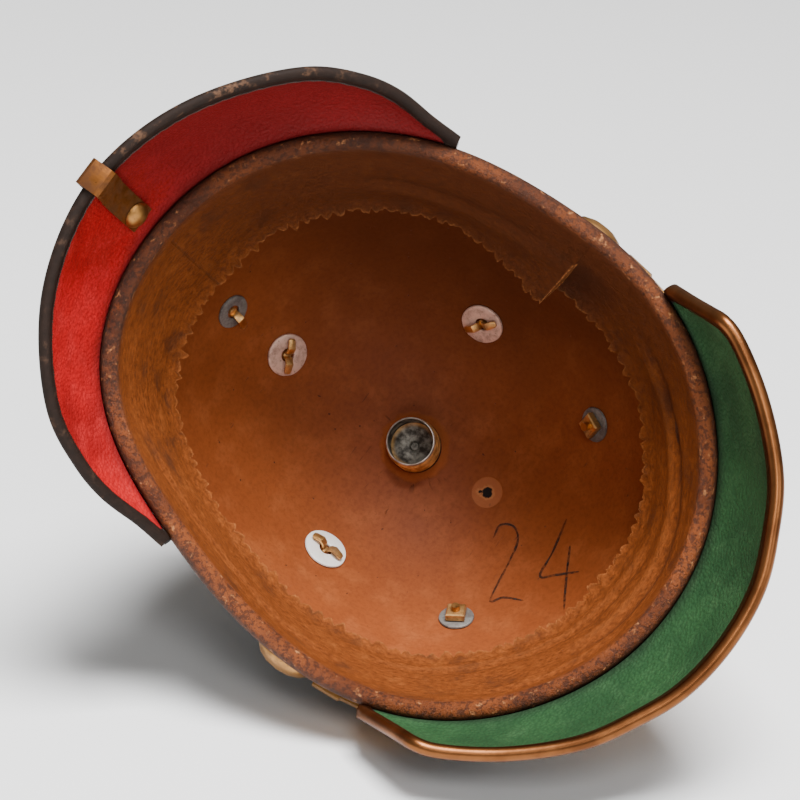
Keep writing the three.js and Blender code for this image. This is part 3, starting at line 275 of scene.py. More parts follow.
def rough(point, size, seed=0.0):
    """Smooth noise from -1 to 1 at a place in the helmet's frame."""
    return noise.noise(Vector(point) / size + Vector((seed, seed * 1.7, 3.1)))


print("mesh tools ready")

# %% [markdown]
# ## Materials
# Each surface is worked out from the helmet's own frame: leather has grain, stains and scuffs,
# and brass has bare metal with brown patina. A small class lets the sockets be reckoned with.

# %% Materials
def operator(operation, swapped=False):
    def apply(self, other):
        first, second = (other, self) if swapped else (self, other)
        return self.maker.math(operation, first, second)
    return apply


class Value:
    """The output of a node, with plus, minus and times."""

    def __init__(self, maker, socket):
        self.maker, self.socket = maker, socket

    __add__, __radd__ = operator("ADD"), operator("ADD", True)
    __sub__, __rsub__ = operator("SUBTRACT"), operator("SUBTRACT", True)
    __mul__, __rmul__ = operator("MULTIPLY"), operator("MULTIPLY", True)

    def ramp(self, low, high):
        """0 below low and 1 above high, eased between them; low may be the larger."""
        if low > high:
            return 1 - self.ramp(high, low)
        inputs = {"Value": self, "From Min": low, "From Max": high}
        return self.maker.node("ShaderNodeMapRange", inputs, interpolation_type="SMOOTHSTEP")


class Recipe:
    """A material in the making."""

    def __init__(self, name):
        self.material = bpy.data.materials.new(name)
        self.material.use_nodes = True
        self.tree = self.material.node_tree
        self.surface = self.tree.nodes["Principled BSDF"]
        self.place = self.node("ShaderNodeAttribute", {}, "Vector", attribute_name="place")

    def put(self, socket, value):
        if isinstance(value, Value):
            self.tree.links.new(value.socket, socket)
        elif isinstance(value, tuple) and len(value) == 3 and socket.type == "RGBA":
            socket.default_value = (*value, 1)
        else:
            socket.default_value = value

    def node(self, kind, inputs, output=0, **settings):
        made = self.tree.nodes.new(kind)
        for key, value in settings.items():
            setattr(made, key, value)
        for key, value in inputs.items():
            self.put(made.inputs[key], value)
        return Value(self, made.outputs[output])

    def math(self, operation, a, b):
        return self.node("ShaderNodeMath", {0: a, 1: b}, operation=operation)

    def mix(self, factor, a, b):
        return self.node("ShaderNodeMix", {0: factor, 6: a, 7: b}, 2, data_type="RGBA")

    def attribute(self, name):
        return self.node("ShaderNodeAttribute", {}, "Fac", attribute_name=name)

    def stretched(self, x, y, z):
        return self.node("ShaderNodeVectorMath", {0: self.place, 1: (x, y, z)}, operation="MULTIPLY")

    def part(self, axis):
        return self.node("ShaderNodeSeparateXYZ", {0: self.place}, axis)

    def noise(self, size, detail=4, vector=None, roughness=0.55):
        """Noise from 0 to 1 whose lumps are about size millimetres."""
        inputs = {"Vector": vector or self.place, "Scale": 1 / size, "Detail": detail,
                  "Roughness": roughness}
        return self.node("ShaderNodeTexNoise", inputs)

    def cells(self, size, vector=None, feature="F1"):
        inputs = {"Vector": vector or self.place, "Scale": 1 / size}
        return self.node("ShaderNodeTexVoronoi", inputs, feature=feature)

    def away(self, point):
        """Distance in millimetres from a point."""
        inputs = {0: self.place, 1: tuple(point)}
        return self.node("ShaderNodeVectorMath", inputs, "Value", operation="DISTANCE")

    def painted_shade_side(self):
        """A mask for painted shade: 0 on the helmet's lower half as it lies, up to 1 on its upper side at
        the wearer's right and rear.
        """
        inputs = {0: self.place, 1: (1.0, -0.35, 0.0)}
        side = self.node("ShaderNodeVectorMath", inputs, "Value", operation="DOT_PRODUCT")
        return (side + 14 * (self.noise(40, 3) - 0.5)).ramp(5, 75)

    def done(self, color, roughness, metallic=0.0, height=None, depth=0.0, fine=0.3, shine=0.5):
        self.put(self.surface.inputs["Base Color"], color)
        self.put(self.surface.inputs["Roughness"], roughness)
        self.put(self.surface.inputs["Metallic"], metallic)
        self.put(self.surface.inputs["Specular IOR Level"], shine)
        if height is not None:
            inputs = {"Height": height, "Distance": depth / 1000, "Strength": fine}
            self.put(self.surface.inputs["Normal"], self.node("ShaderNodeBump", inputs))
        return self.material


def dark_leather(name, base, worn, wear=0.72, gloss=0.28):
    """Black or dark leather with fine cracks and worn patches."""
    m = Recipe(name)
    patches = m.noise(22, 6).ramp(wear, wear + 0.1)
    cracks = m.cells(6, m.stretched(1, 1, 0.5), "DISTANCE_TO_EDGE").ramp(0.03, 0.0)
    fades = m.noise(60, 3)
    cracked = cracks * m.noise(30, 2).ramp(0.5, 0.65)
    color = m.mix(patches, m.mix(fades, base, tuple(c * 1.8 for c in base)), worn)
    color = m.mix(cracked * 0.7, color, tuple(c * 0.6 for c in worn))
    roughness = gloss + 0.35 * patches + 0.2 * m.noise(4, 3) + cracked * 0.2
    height = m.noise(0.8, 4) * 0.3 - cracked - patches * 0.4
    return m.done(color, roughness, 0.0, height, 0.5)


def metal(name, bright, dull, amount=0.5, gloss=0.28, spot=7, pits=0.5, bare=1.0):
    """Old metal: patina in the hollows of a noise, finely scratched, pitted here and there."""
    m = Recipe(name)
    patina = m.noise(spot, 7, roughness=0.65).ramp(amount - 0.14, amount + 0.16)
    specks = m.noise(1.1, 3).ramp(0.62, 0.7)
    scratch = m.noise(0.7, 3, m.stretched(1, 0.08, 0.3))
    color = m.mix(patina, bright, dull)
    color = m.mix(specks * pits, color, tuple(c * 0.35 for c in dull))
    roughness = gloss + 0.25 * patina + 0.15 * scratch
    height = scratch * 0.5 - specks * pits
    return m.done(color, roughness, bare * (1.0 - 0.45 * patina), height, 0.25, shine=0.25)


print("material tools ready")

# %% [markdown]
# ## Shell
# Boiled leather pressed over a block: satin russet inside, black lacquer outside. The inside
# has scratches, small dark specks, a torn ring round the crown's tube and the pale print of a
# washer round the one empty hole. Painted shade darkens its upper side, and the gap round the tube and the
# empty hole are painted near black as shade.

# %% Shell
TORN_HOLE = np.array((2.0, 31.5, dome_height(2.0, 31.5)))


def russet():
    m = Recipe("russet_inside")
    broad = m.noise(55, 5)
    grain = m.noise(1.6, 5, roughness=0.7)
    blotch = m.noise(12, 5, roughness=0.6)
    color = m.mix(broad, (0.18, 0.042, 0.011), (0.30, 0.075, 0.019))
    color = m.mix(blotch.ramp(0.45, 0.75) * 0.5, color, (0.36, 0.105, 0.032))
    color = m.mix(grain.ramp(0.4, 0.7) * 0.4, color, (0.13, 0.030, 0.009))
    specks = m.noise(2.6, 2).ramp(0.735, 0.77)
    scratch_field = m.noise(3.2, 2, m.stretched(0.35, 3.2, 1))
    scratches = scratch_field.ramp(0.71, 0.74) * m.noise(26, 2).ramp(0.52, 0.60)
    color = m.mix(specks * 0.75, color, (0.03, 0.012, 0.006))
    color = m.mix(scratches * 0.6, color, (0.07, 0.022, 0.01))
    crown_away = m.away(CROWN_HOLE)
    crown = crown_away + 3.2 * (m.noise(5, 5) - 0.5)
    tear = crown.ramp(13.2, 11.6)
    # Painted shade: the upper side of the inside, which faces down, is painted darker.
    color = m.mix(m.painted_shade_side() * 0.8, color, (0.050, 0.011, 0.003))
    color = m.mix(tear * 0.35, color, (0.40, 0.115, 0.034))
    turn = m.math("ARCTAN2", m.part(1), m.part(0))
    around = m.node("ShaderNodeCombineXYZ", {0: turn * 5, 1: crown * 0.09, 2: 0.0})
    cracks = m.noise(1.0, 2, around).ramp(0.66, 0.69) * crown.ramp(18, 12)
    color = m.mix(cracks * 0.7, color, (0.045, 0.014, 0.006))
    # Painted shade: the gap between the tube and the leather is painted near black.
    color = m.mix(crown_away.ramp(9.6, 9.2), color, (0.012, 0.009, 0.007))
    hole = m.away(TORN_HOLE)
    print_ring = hole.ramp(5.9, 5.5)
    beside = m.away(TORN_HOLE + np.array((-1.2, -2.1, 0.0))) + 0.9
    ragged = m.math("MINIMUM", hole, beside) + 2.6 * (m.noise(1.7, 5, roughness=0.7) - 0.5)
    color = m.mix(print_ring * 0.5, color, (0.44, 0.15, 0.055))
    color = m.mix(ragged.ramp(3.0, 2.3) * 0.6, color, (0.50, 0.20, 0.070))
    # Painted shade: the empty hole is painted near black.
    color = m.mix(ragged.ramp(2.2, 1.8), color, (0.008, 0.005, 0.004))
    height = grain * 0.25 - specks * 0.6 - scratches - print_ring * 0.8 + tear * 0.9 - cracks
    roughness = 0.42 + 0.2 * grain + 0.1 * blotch + tear * 0.25
    return m.done(color, roughness, 0.0, height, 0.6, fine=0.5, shine=0.16)


COLUMNS = 144
ROWS = 40
DIMPLES = 0.0012


def dome_grid(outward):
    points = []
    for row in range(ROWS):
        angle = row / ROWS * math.pi / 2
        z = (DOME_HEIGHT + outward) * math.sin(angle) ** (2 / DOME_POWER)
        scale = math.cos(angle) ** (2 / DOME_POWER)
        for k in range(COLUMNS):
            half_width = (SHELL_HALF_WIDTH + outward) * scale
            half_length = (SHELL_HALF_LENGTH + outward) * scale
            p = oval(k * 360 / COLUMNS, half_width, half_length, z)
            dimple = DIMPLES * rough(p, 22, outward) if 2 < row else 0
            points.append(p * (1 + dimple))
    points.append(np.array((0, 0, DOME_HEIGHT + outward)))
    faces = grid_faces(ROWS, COLUMNS, True)
    last = (ROWS - 1) * COLUMNS
    faces += [(last + k, last + (k + 1) % COLUMNS, ROWS * COLUMNS) for k in range(COLUMNS)]
    return np.array(points), faces


inner_points, inner_faces = dome_grid(0)
outer_points, outer_faces = dome_grid(SHELL_WALL)
shell_points, shell_faces, shell_kinds = merged([
    (inner_points, inner_faces, 0),
    (outer_points, outer_faces, 1),
])
outer_start = len(inner_points)
for k in range(COLUMNS):
    j = (k + 1) % COLUMNS
    shell_faces.append((k, j, outer_start + j, outer_start + k))
    shell_kinds.append(1)
black_lacquer = dark_leather("black_lacquer", (0.012, 0.010, 0.009), (0.10, 0.045, 0.02))
make("shell_leather", shell_points, shell_faces, [russet(), black_lacquer],
     ["shell"], shell_kinds)
print("shell", len(shell_faces), "faces")

# %% [markdown]
# ## Sweatband
# One long band of split leather is sewn over the shell's edge, rolled into a bead and leans
# inwards. Its deep edge is pinked in scallops. Years of wear folded it lengthwise.

# %% Sweatband
# Folds that run along the band: from and to in degrees round the head, share of its depth,
# how far they wander and how deep they are.
FOLDS = [
    {"low": 22, "high": 118, "share": 0.44, "wander": 0.09, "depth": 1.2, "width": 2.8},
    {"low": 70, "high": 165, "share": 0.68, "wander": 0.05, "depth": 0.9, "width": 2.2},
    {"low": 310, "high": 368, "share": 0.50, "wander": 0.10, "depth": 1.0, "width": 3.0},
    {"low": 160, "high": 235, "share": 0.33, "wander": 0.07, "depth": 0.7, "width": 2.2},
    {"low": 95, "high": 140, "share": 0.22, "wander": 0.04, "depth": 0.9, "width": 1.7},
]


END_CURL = 7.0
END_FREE_FROM = 0.38
EDGE_FLARE = 2.6
FLARE_FROM = 38
TEETH_FROM = 0.93


def fold_depth(degrees, height):
    """How deep the folds are at a place on the band, in millimetres."""
    depth = 0.0
    for i, fold in enumerate(FOLDS):
        for turn in (0, 360):
            a = degrees + turn
            ends = min(1.0, max(0.0, (a - fold["low"]) / 14)) * min(1.0, max(0.0, (fold["high"] - a) / 14))
            if ends <= 0:
                continue
            middle = fold["share"] * BAND_DEPTH
            middle += fold["wander"] * BAND_DEPTH * math.sin(math.radians(a * 3.1 + i * 70))
            off = (height - middle) / fold["width"]
            groove = math.exp(-off * off) - 0.6 * math.exp(-((off - 1.7) ** 2))
            depth += fold["depth"] * ends * groove
    return depth


def end_step(degrees, share):
    """How far the band's overlapping end stands in: one ply, and more where its corner curls."""
    before = (BAND_END_DEGREES - degrees) % 360
    if before > BAND_END_FADE:
        return 0.0
    near = 1 - before / BAND_END_FADE
    return BAND_WALL * 0.8 * near + END_CURL * near ** 1.6 * max(0.0, (share - 0.3) / 0.7) ** 1.7


def tooth(degrees):
    wander = degrees + 1.1 * noise.noise(Vector((math.cos(math.radians(degrees)) * 14,
                                                 math.sin(math.radians(degrees)) * 14, 2.2)))
    across = 2 * (wander * SCALLOPS / 360 % 1) - 1
    number = int(wander * SCALLOPS / 360 // 1) % SCALLOPS
    ragged = 0.75 + 0.9 * noise.noise(Vector((number * 3.7, 1.3, 0.2)))
    skew = 0.5 * noise.noise(Vector((number * 2.3, 5.1, 0.7)))
    across = (across - skew) / (1 + skew if across < skew else 1 - skew)
    frayed = 0.3 * noise.noise(Vector((degrees * 2.9, 0.4, 6.0)))
    return ragged * max(0.0, 1 - abs(across) ** 2.3) + frayed - 0.1


# How far the wall has leant in at each share of its depth.
LEANS = np.array(((0, 0), (0.22, 0.13), (0.47, 0.4), (0.74, 0.72), (1, 1), (1.1, 1.12)))
FACE_SHARES = [0.0, 0.03, 0.07] + [0.07 + 0.89 * i / 26 for i in range(1, 27)] + [0.975, 0.99, 1.0]


def band_face(degrees, share, outward):
    """A point on the band's wall; share 0 is the rolled rim and 1 the scalloped edge."""
    into_teeth = max(0.0, (share - TEETH_FROM) / (1 - TEETH_FROM))
    low = BAND_DEPTH - SCALLOP_DEPTH
    z = min(share, TEETH_FROM) * low
    z += into_teeth * (low * (1 - TEETH_FROM) + SCALLOP_DEPTH * tooth(degrees) * into_teeth)
    lean_share = float(np.interp(z / BAND_DEPTH, LEANS[:, 0], LEANS[:, 1]))
    p = oval(degrees, HEAD_HALF_WIDTH - BAND_LEAN_SIDE * lean_share,
             HEAD_HALF_LENGTH - BAND_LEAN_END * lean_share, z)
    soft = min(1.0, share / 0.15)
    push = fold_depth(degrees, z) * soft + 0.9 * soft * rough(p, 26, 2.0) + 0.3 * soft * rough(p, 7, 5.0)
    push += 3.5 * max(0.0, share - 0.8) * rough(p, 3.5, 8.0)
    push -= end_step(degrees, share) * min(1.0, max(0.0, (share - END_FREE_FROM) / 0.2))
    push -= EDGE_FLARE * max(0.0, (z - FLARE_FROM) / (BAND_DEPTH - FLARE_FROM)) ** 1.5
    flat = p.copy()
    flat[2] = 0
    return p + flat / np.linalg.norm(flat) * (push + outward)


BEAD_STEPS = 12
OUTER_SHARES = (0.2, 0.4, 0.6, 0.8, TEETH_FROM, 0.975, 1.0)


def band_loop(degrees):
    """One section of the band: the wall's face, the bead, the fold under the visors, the wall's back."""
    inner = [band_face(degrees, share, 0) for share in reversed(FACE_SHARES)]
    bead = []
    radius = LIP_OUT / 2
    for i in range(1, BEAD_STEPS):
        a = math.pi * i / BEAD_STEPS
        out = radius - radius * math.cos(a)
        p = oval(degrees, HEAD_HALF_WIDTH + out, HEAD_HALF_LENGTH + out, -BEAD_DROP * 1.15 * math.sin(a))
        bead.append(p + np.array((0, 0, 0.25 * rough(p, 6, 9.0) + 0.3 * rough(p, 20, 4.0))))
    welt = LIP_OUT + 0.25
    folded = [(LIP_OUT, 0), (welt, 2), (welt, 4), (LIP_OUT, LIP_HEIGHT), (LIP_OUT - BAND_WALL, LIP_HEIGHT),
              (LIP_OUT - BAND_WALL, -GAP), (BAND_WALL, -GAP)]
    lip = [oval(degrees, HEAD_HALF_WIDTH + out, HEAD_HALF_LENGTH + out, z) for out, z in folded]
    outer = [band_face(degrees, share, BAND_WALL) for share in OUTER_SHARES]
    return inner + bead + lip + outer


BAND_COLUMNS = SCALLOPS * 8
band_end = BAND_END_DEGREES + 0.02
band_stops = sorted([360 * k / BAND_COLUMNS for k in range(BAND_COLUMNS)] + [band_end])
band_loops = [np.array(band_loop(a)) for a in band_stops]
band_points, band_faces = ring_solid(band_loops, True)
loop_size = len(band_loops[0])
across = np.zeros(loop_size)
across[:len(FACE_SHARES)] = list(reversed(FACE_SHARES))
across[len(FACE_SHARES):len(FACE_SHARES) + BEAD_STEPS - 1] = -np.linspace(0.05, 0.95, BEAD_STEPS - 1)
across[len(FACE_SHARES) + BEAD_STEPS - 1:] = -1
cut_edge = np.zeros(loop_size)
cut_edge[:2] = (0.4, 0.05)
cut_edge[-1] = 1
band_across = np.tile(across, len(band_loops))
band_cut = np.tile(cut_edge, len(band_loops))
end_column = band_stops.index(band_end)
upper_rows = sum(1 for share in FACE_SHARES if share > 0.5)
for column in (end_column - 1, end_column):
    band_cut[column * loop_size:column * loop_size + upper_rows] = 1
band_round = np.repeat([(a - BAND_END_DEGREES - 0.01) % 360 / 360 for a in band_stops], loop_size)


def band_leather():
    m = Recipe("band_leather")
    share = m.attribute("across")
    turn = m.attribute("around")
    fibre_at = m.node("ShaderNodeCombineXYZ", {0: turn * 210, 1: share * 36, 2: 0.0})
    fibres = m.noise(1.0, 7, fibre_at, 0.72)
    pores = m.noise(0.8, 4, roughness=0.7)
    stains = m.noise(17, 6, roughness=0.62)
    drops = m.noise(7, 5, roughness=0.7)
    color = m.mix(fibres.ramp(0.25, 0.75), (0.080, 0.019, 0.004), (0.26, 0.066, 0.012))
    color = m.mix(drops.ramp(0.5, 0.8) * 0.4, color, (0.38, 0.115, 0.026))
    color = m.mix(stains.ramp(0.52, 0.72) * 0.75, color, (0.060, 0.020, 0.008))
    shade = m.attribute("fold")
    # Painted shade in the folds' grooves, and a painted highlight on their ridges.
    color = m.mix(shade.ramp(0.3, 1.3) * 0.5, color, (0.055, 0.018, 0.008))
    color = m.mix(shade.ramp(-0.2, -0.7) * 0.15, color, (0.40, 0.13, 0.034))
    # Painted shadow of the overlapping end's flap, on the band just past it.
    flap_shadow = turn.ramp(0.040, 0.004) * share.ramp(0.3, 0.55)
    color = m.mix(flap_shadow * 0.75, color, (0.016, 0.006, 0.003))
    seam_spot = m.math("ABSOLUTE", turn - 0.731, 0.0)
    seam = seam_spot.ramp(0.0012, 0.0004) * share.ramp(0.05, 0.1)
    color = m.mix(seam * 0.3, color, (0.05, 0.018, 0.008))
    rim = share.ramp(0.12, -0.12)
    # Painted shade: the band's upper side is painted darker.
    color = m.mix(m.painted_shade_side() * 0.75, color, (0.042, 0.011, 0.003))
    scuffs = m.noise(3.4, 6, m.stretched(1, 1, 2.2), 0.7)
    grain = m.noise(1.7, 6, roughness=0.75)
    rim_color = m.mix(m.noise(26, 4).ramp(0.42, 0.62), (0.20, 0.050, 0.011), (0.11, 0.027, 0.007))
    rim_color = m.mix(grain.ramp(0.47, 0.56) * 0.75, rim_color, (0.036, 0.011, 0.005))
    # Painted shade on the rolled rim's upper side.
    rim_color = m.mix(m.painted_shade_side() * 0.35, rim_color, (0.040, 0.014, 0.006))
    outer_side = share.ramp(-0.55, -0.9)
    rim_color = m.mix(outer_side * 0.6, rim_color, (0.022, 0.010, 0.006))
    soot = m.away((-30.0, -104.0, 0.0)).ramp(60, 20) + m.away((60.0, -70.0, 0.0)).ramp(40, 10) * 0.5
    rim_color = m.mix(soot * 0.6 * scuffs.ramp(0.3, 0.5), rim_color, (0.014, 0.008, 0.006))
    rim_color = m.mix(scuffs.ramp(0.58, 0.70) * 0.8, rim_color, (0.46, 0.19, 0.070))
    color = m.mix(rim, color, rim_color)
    edge = m.attribute("cut")
    frayed = m.noise(1.6, 5, roughness=0.7).ramp(0.4, 0.6)
    color = m.mix(edge * (0.2 + 0.7 * frayed), color, (0.50, 0.19, 0.058))
    height = fibres * (0.8 - 0.5 * rim) + pores * 0.5 + (scuffs * 0.7 - grain) * rim - seam * 0.3
    roughness = 0.62 - 0.16 * rim + 0.2 * fibres - 0.1 * stains
    return m.done(color, roughness, 0.0, height, 1.0, fine=0.75, shine=0.12 + 0.1 * rim)


band_fold = []
for a in band_stops:
    column = [fold_depth(a, share * BAND_DEPTH) for share in reversed(FACE_SHARES)]
    band_fold += column + [0.0] * (loop_size - len(column))
band_layers = {"across": band_across, "around": band_round, "cut": band_cut, "fold": band_fold}
make("sweatband_leather", band_points, band_faces, [band_leather()], ["sweatband"],
     attributes=band_layers, sharp=70)
print("sweatband", len(band_faces), "faces")

# %% [markdown]
# ## Visors
# Each visor is one stiff leaf sewn under the rolled edge: green below at the front, red below on
# the neck guard, black lacquer above. A curve gives its edge, and the leaf bulges a little.

# %% Visors
FRONT_EDGE = [
    {"side": 0, "ahead": 1, "reach": 0.757, "drop": 1},
    {"side": 0.228, "ahead": 0.98, "reach": 0.74, "drop": 0.99},
    {"side": 0.407, "ahead": 0.92, "reach": 0.72, "drop": 0.98},
    {"side": 0.574, "ahead": 0.83, "reach": 0.735, "drop": 0.96},
    {"side": 0.764, "ahead": 0.66, "reach": 0.7, "drop": 0.91},
    {"side": 0.888, "ahead": 0.53, "reach": 0.47, "drop": 0.87},
    {"side": 0.904, "ahead": 0.5, "reach": 0.37, "drop": 0.84},
    {"side": 0.908, "ahead": 0.485, "reach": 0.26, "drop": 0.72},
    {"side": 0.916, "ahead": 0.455, "reach": 0.12, "drop": 0.45},
    {"side": 0.932, "ahead": 0.393, "reach": 0, "drop": 0.05},
]
REAR_EDGE = [
    {"side": 0, "ahead": 1, "reach": 0.805, "drop": 1},
    {"side": 0.249, "ahead": 0.97, "reach": 0.785, "drop": 0.98},
    {"side": 0.496, "ahead": 0.87, "reach": 0.82, "drop": 0.91},
    {"side": 0.76, "ahead": 0.71, "reach": 0.756, "drop": 0.75},
    {"side": 0.864, "ahead": 0.6, "reach": 0.624, "drop": 0.58},
    {"side": 0.908, "ahead": 0.53, "reach": 0.45, "drop": 0.4},
    {"side": 0.918, "ahead": 0.46, "reach": 0.15, "drop": 0.2},
    {"side": 0.932, "ahead": 0.393, "reach": 0, "drop": 0.04},
]


def blend(a, b, low, high, t):
    return a + (b - a) * (t - low) / (high - low)


def smooth_run(controls, samples=24):
    """A centripetal curve through the control points, as evenly spaced points."""
    p = [2 * controls[0] - controls[1]] + list(controls) + [2 * controls[-1] - controls[-2]]
    out = []
    for k in range(1, len(p) - 2):
        knots = [0.0]
        for a, b in zip(p[k - 1:k + 2], p[k:k + 3]):
            knots.append(knots[-1] + max(1e-4, np.linalg.norm(b - a)) ** 0.5)
        t0, t1, t2, t3 = knots
        for t in np.linspace(t1, t2, samples, endpoint=False):
            lines = [blend(p[k - 1 + i], p[k + i], knots[i], knots[i + 1], t) for i in range(3)]
            early = blend(lines[0], lines[1], t0, t2, t)
            late = blend(lines[1], lines[2], t1, t3, t)
            out.append(blend(early, late, t1, t2, t))
    out.append(controls[-1])
    return np.array(out)


def by_length(run, shares):
    steps = np.concatenate(([0], np.cumsum(np.linalg.norm(np.diff(run, axis=0), axis=1))))
    steps /= steps[-1]
    return np.column_stack([np.interp(shares, steps, run[:, i]) for i in range(3)])


def edge_run(rows, sign, reach, drop):
    """The edge of a visor from the wearer's right to the left, worked out from its table."""
    def point(row, side):
        x = side * row["side"] * (HEAD_HALF_WIDTH + VISOR_SEAT) + VISOR_SHIFT * row["reach"]
        y = sign * (row["ahead"] * (HEAD_HALF_LENGTH + VISOR_SEAT) + row["reach"] * reach)
        degrees = math.degrees(math.atan2(y / HEAD_HALF_LENGTH, x / HEAD_HALF_WIDTH))
        grow = dent_factor(degrees, math.hypot(x, y), 0)
        return np.array((x * grow, y * grow, -row["drop"] * drop))
    right = [point(row, 1) for row in reversed(rows)]
    left = [point(row, -1) for row in rows[1:]]
    return smooth_run(right + left)


LEAF_COLUMNS = 161
LEAF_ROWS = 20


def leaf_surface(rows, sign, reach, drop, bulge, middle):
    """A visor's middle surface and its normals: a lip behind the rim, then out to the edge."""
    shares = np.linspace(0, 1, LEAF_COLUMNS)
    edge = by_length(edge_run(rows, sign, reach, drop), shares)
    tangents = np.gradient(edge, axis=0)
    grid = []
    for share, end, tangent in zip(shares, edge, tangents):
        degrees = middle + sign * (share - 0.5) * 2 * VISOR_HALF_SPAN
        top = oval(degrees, HEAD_HALF_WIDTH + VISOR_SEAT, HEAD_HALF_LENGTH + VISOR_SEAT, VISOR_LIP)
        root = top.copy()
        root[2] = -BEAD_DROP * 0.4
        chord = end - root
        up = np.cross(chord, tangent)
        up /= np.linalg.norm(up)
        if up[2] < 0:
            up = -up
        rise = min(1, np.linalg.norm(chord) / 25) * bulge
        line = [top, (top + root) / 2]
        for i in range(LEAF_ROWS - 1):
            t = i / (LEAF_ROWS - 2)
            line.append(root + chord * t + up * 4 * t * (1 - t) * rise)
        grid.append(line)
    grid = np.array(grid)
    along = np.gradient(grid, axis=0)
    out = np.gradient(grid, axis=1)
    normals = np.cross(along, out)
    normals /= np.linalg.norm(normals, axis=2, keepdims=True)
    outside = grid * (1, 1, 0)
    outside /= np.linalg.norm(outside, axis=2, keepdims=True)
    outside[:, :, 2] = 1
    flip = np.sum(normals * outside, axis=2) < 0
    normals[flip] *= -1
    return grid, normals


def leaf_piece(name, surface, under, node):
    grid, normals = surface
    half = VISOR_WALL / 2
    columns, rows = grid.shape[:2]
    upper = (grid + normals * half).reshape(-1, 3)
    lower = (grid - normals * half).reshape(-1, 3)
    faces = grid_faces(columns, rows)
    points, faces, kinds = merged([(upper, faces, 1), (lower, faces, 0)])
    cells_each = len(faces) // 2
    for i in range(cells_each):
        if not 3 <= i // (rows - 1) <= columns - 5:
            kinds[cells_each + i] = 1
    start = columns * rows
    last = (columns - 1) * rows
    border = list(range(rows)) + [c * rows + rows - 1 for c in range(1, columns)]
    border += [last + r for r in range(rows - 2, -1, -1)] + [c * rows for c in range(columns - 2, 0, -1)]
    for a, b in zip(border, border[1:] + border[:1]):
        faces.append((a, b, start + b, start + a))
        kinds.append(1)
    inward = np.tile(np.linspace(0, 1, rows), columns)
    return make(name, points, faces, [under, black_lacquer], [node], kinds,
                {"outward": np.concatenate((inward, inward))}, sharp=50)


def lined_leather(name, base, dark, light, dirt_and_shade, shade=0.0):
    """A dyed underside: fine pebbles, rubbed high spots, a line along the rim painted dark as shade under
    the bead, and painted shade on the upper side.
    """
    m = Recipe(name)
    pebbles = m.cells(1.15)
    broad = m.noise(30, 5)
    cloud = m.noise(9, 6, roughness=0.65)
    color = m.mix(broad.ramp(0.3, 0.7), dark, base)
    color = m.mix(cloud.ramp(0.45, 0.75) * 0.5, color, light)
    color = m.mix(pebbles.ramp(0.3, 0.7) * 0.45, color, dark)
    # Painted shade where the leaf goes under the rolled rim; the same dark colour also tints the dirt
    # flecks below.
    rim = m.attribute("outward").ramp(0.22, 0.05)
    color = m.mix(rim * 0.8, color, dirt_and_shade)
    # Painted shade: the upper side of the leaf is painted darker, by the amount shade gives.
    color = m.mix(m.painted_shade_side() * shade, color, tuple(c * 0.4 for c in dark))
    flecks = m.noise(1.5, 3).ramp(0.68, 0.74)
    color = m.mix(flecks * 0.35, color, dirt_and_shade)
    roughness = 0.55 + 0.2 * cloud
    height = 1 - pebbles + 0.6 * m.noise(0.7, 4)
    return m.done(color, roughness, 0.0, height, 0.5, fine=0.6, shine=0.2)


front_surface = leaf_surface(FRONT_EDGE, 1, FRONT_REACH, FRONT_DROP, FRONT_BULGE, 90)
rear_surface = leaf_surface(REAR_EDGE, -1, REAR_REACH, REAR_DROP, REAR_BULGE, 270)
green = lined_leather("green_underside", base=(0.025, 0.080, 0.026), dark=(0.012, 0.043, 0.015),
                      light=(0.046, 0.112, 0.042), dirt_and_shade=(0.012, 0.020, 0.012))
red = lined_leather("red_underside", base=(0.46, 0.004, 0.007), dark=(0.22, 0.003, 0.004),
                    light=(0.54, 0.020, 0.022), dirt_and_shade=(0.10, 0.008, 0.008), shade=0.85)
leaf_piece("front_visor_leaf", front_surface, green, "front_visor")
leaf_piece("rear_visor_leaf", rear_surface, red, "rear_visor")
print("leaves of", LEAF_COLUMNS, "by", LEAF_ROWS + 1, "points")

# %% [markdown]
# ## Trim and binding
# The front visor's edge is held in a rolled brass channel with a round bead outside. The neck
# guard's edge is bound with a thin strip of black leather, sewn through in short slanted
# stitches, so its inner edge looks jagged.

# %% Trim and binding
SLOT_HALF = VISOR_WALL / 2 + 0.15


def round_section(radius, centre_in, lap, wall):
    """The channel's outline in (inwards, up) pairs: a bead, two flanges and the slot between."""
    face = SLOT_HALF + wall
    ease = SLOT_HALF + wall * 0.6
    outline = [(lap, ease), (lap - 0.3, face)]
    steps = 14
    start = math.asin(min(1, face / radius))
    for i in range(steps + 1):
        a = start + (2 * math.pi - 2 * start) * i / steps
        outline.append((centre_in + radius * math.cos(a), radius * math.sin(a)))
    outline += [(lap - 0.3, -face), (lap, -ease), (lap, -SLOT_HALF)]
    outline += [(-GAP, -SLOT_HALF), (-GAP, SLOT_HALF), (lap, SLOT_HALF)]
    return outline


def inwards(line):
    """The way in from a visor's edge."""
    way = line[-4] - line[-1]
    return way / np.linalg.norm(way)


def channel_loops(surface, outline, jag=None):
    """The outline at every column of a leaf, with its flanges laid along the leaf."""
    loops = []
    for c, (line, ups) in enumerate(zip(*surface)):
        edge = line[-1]
        run = np.concatenate(([0], np.cumsum(np.linalg.norm(np.diff(line[::-1], axis=0), axis=1))))
        loop = []
        for i, (inward, up) in enumerate(outline):
            reach = inward + (jag(c, up) if jag and inward > 1 else 0)
            if reach > 0:
                spot = np.array([np.interp(reach, run, line[::-1][:, k]) for k in range(3)])
                normal = np.array([np.interp(reach, run, ups[::-1][:, k]) for k in range(3)])
            else:
                spot, normal = edge + inwards(line) * reach, ups[-1]
            loop.append(spot + normal / np.linalg.norm(normal) * up)
        loops.append(np.array(loop))
    return loops


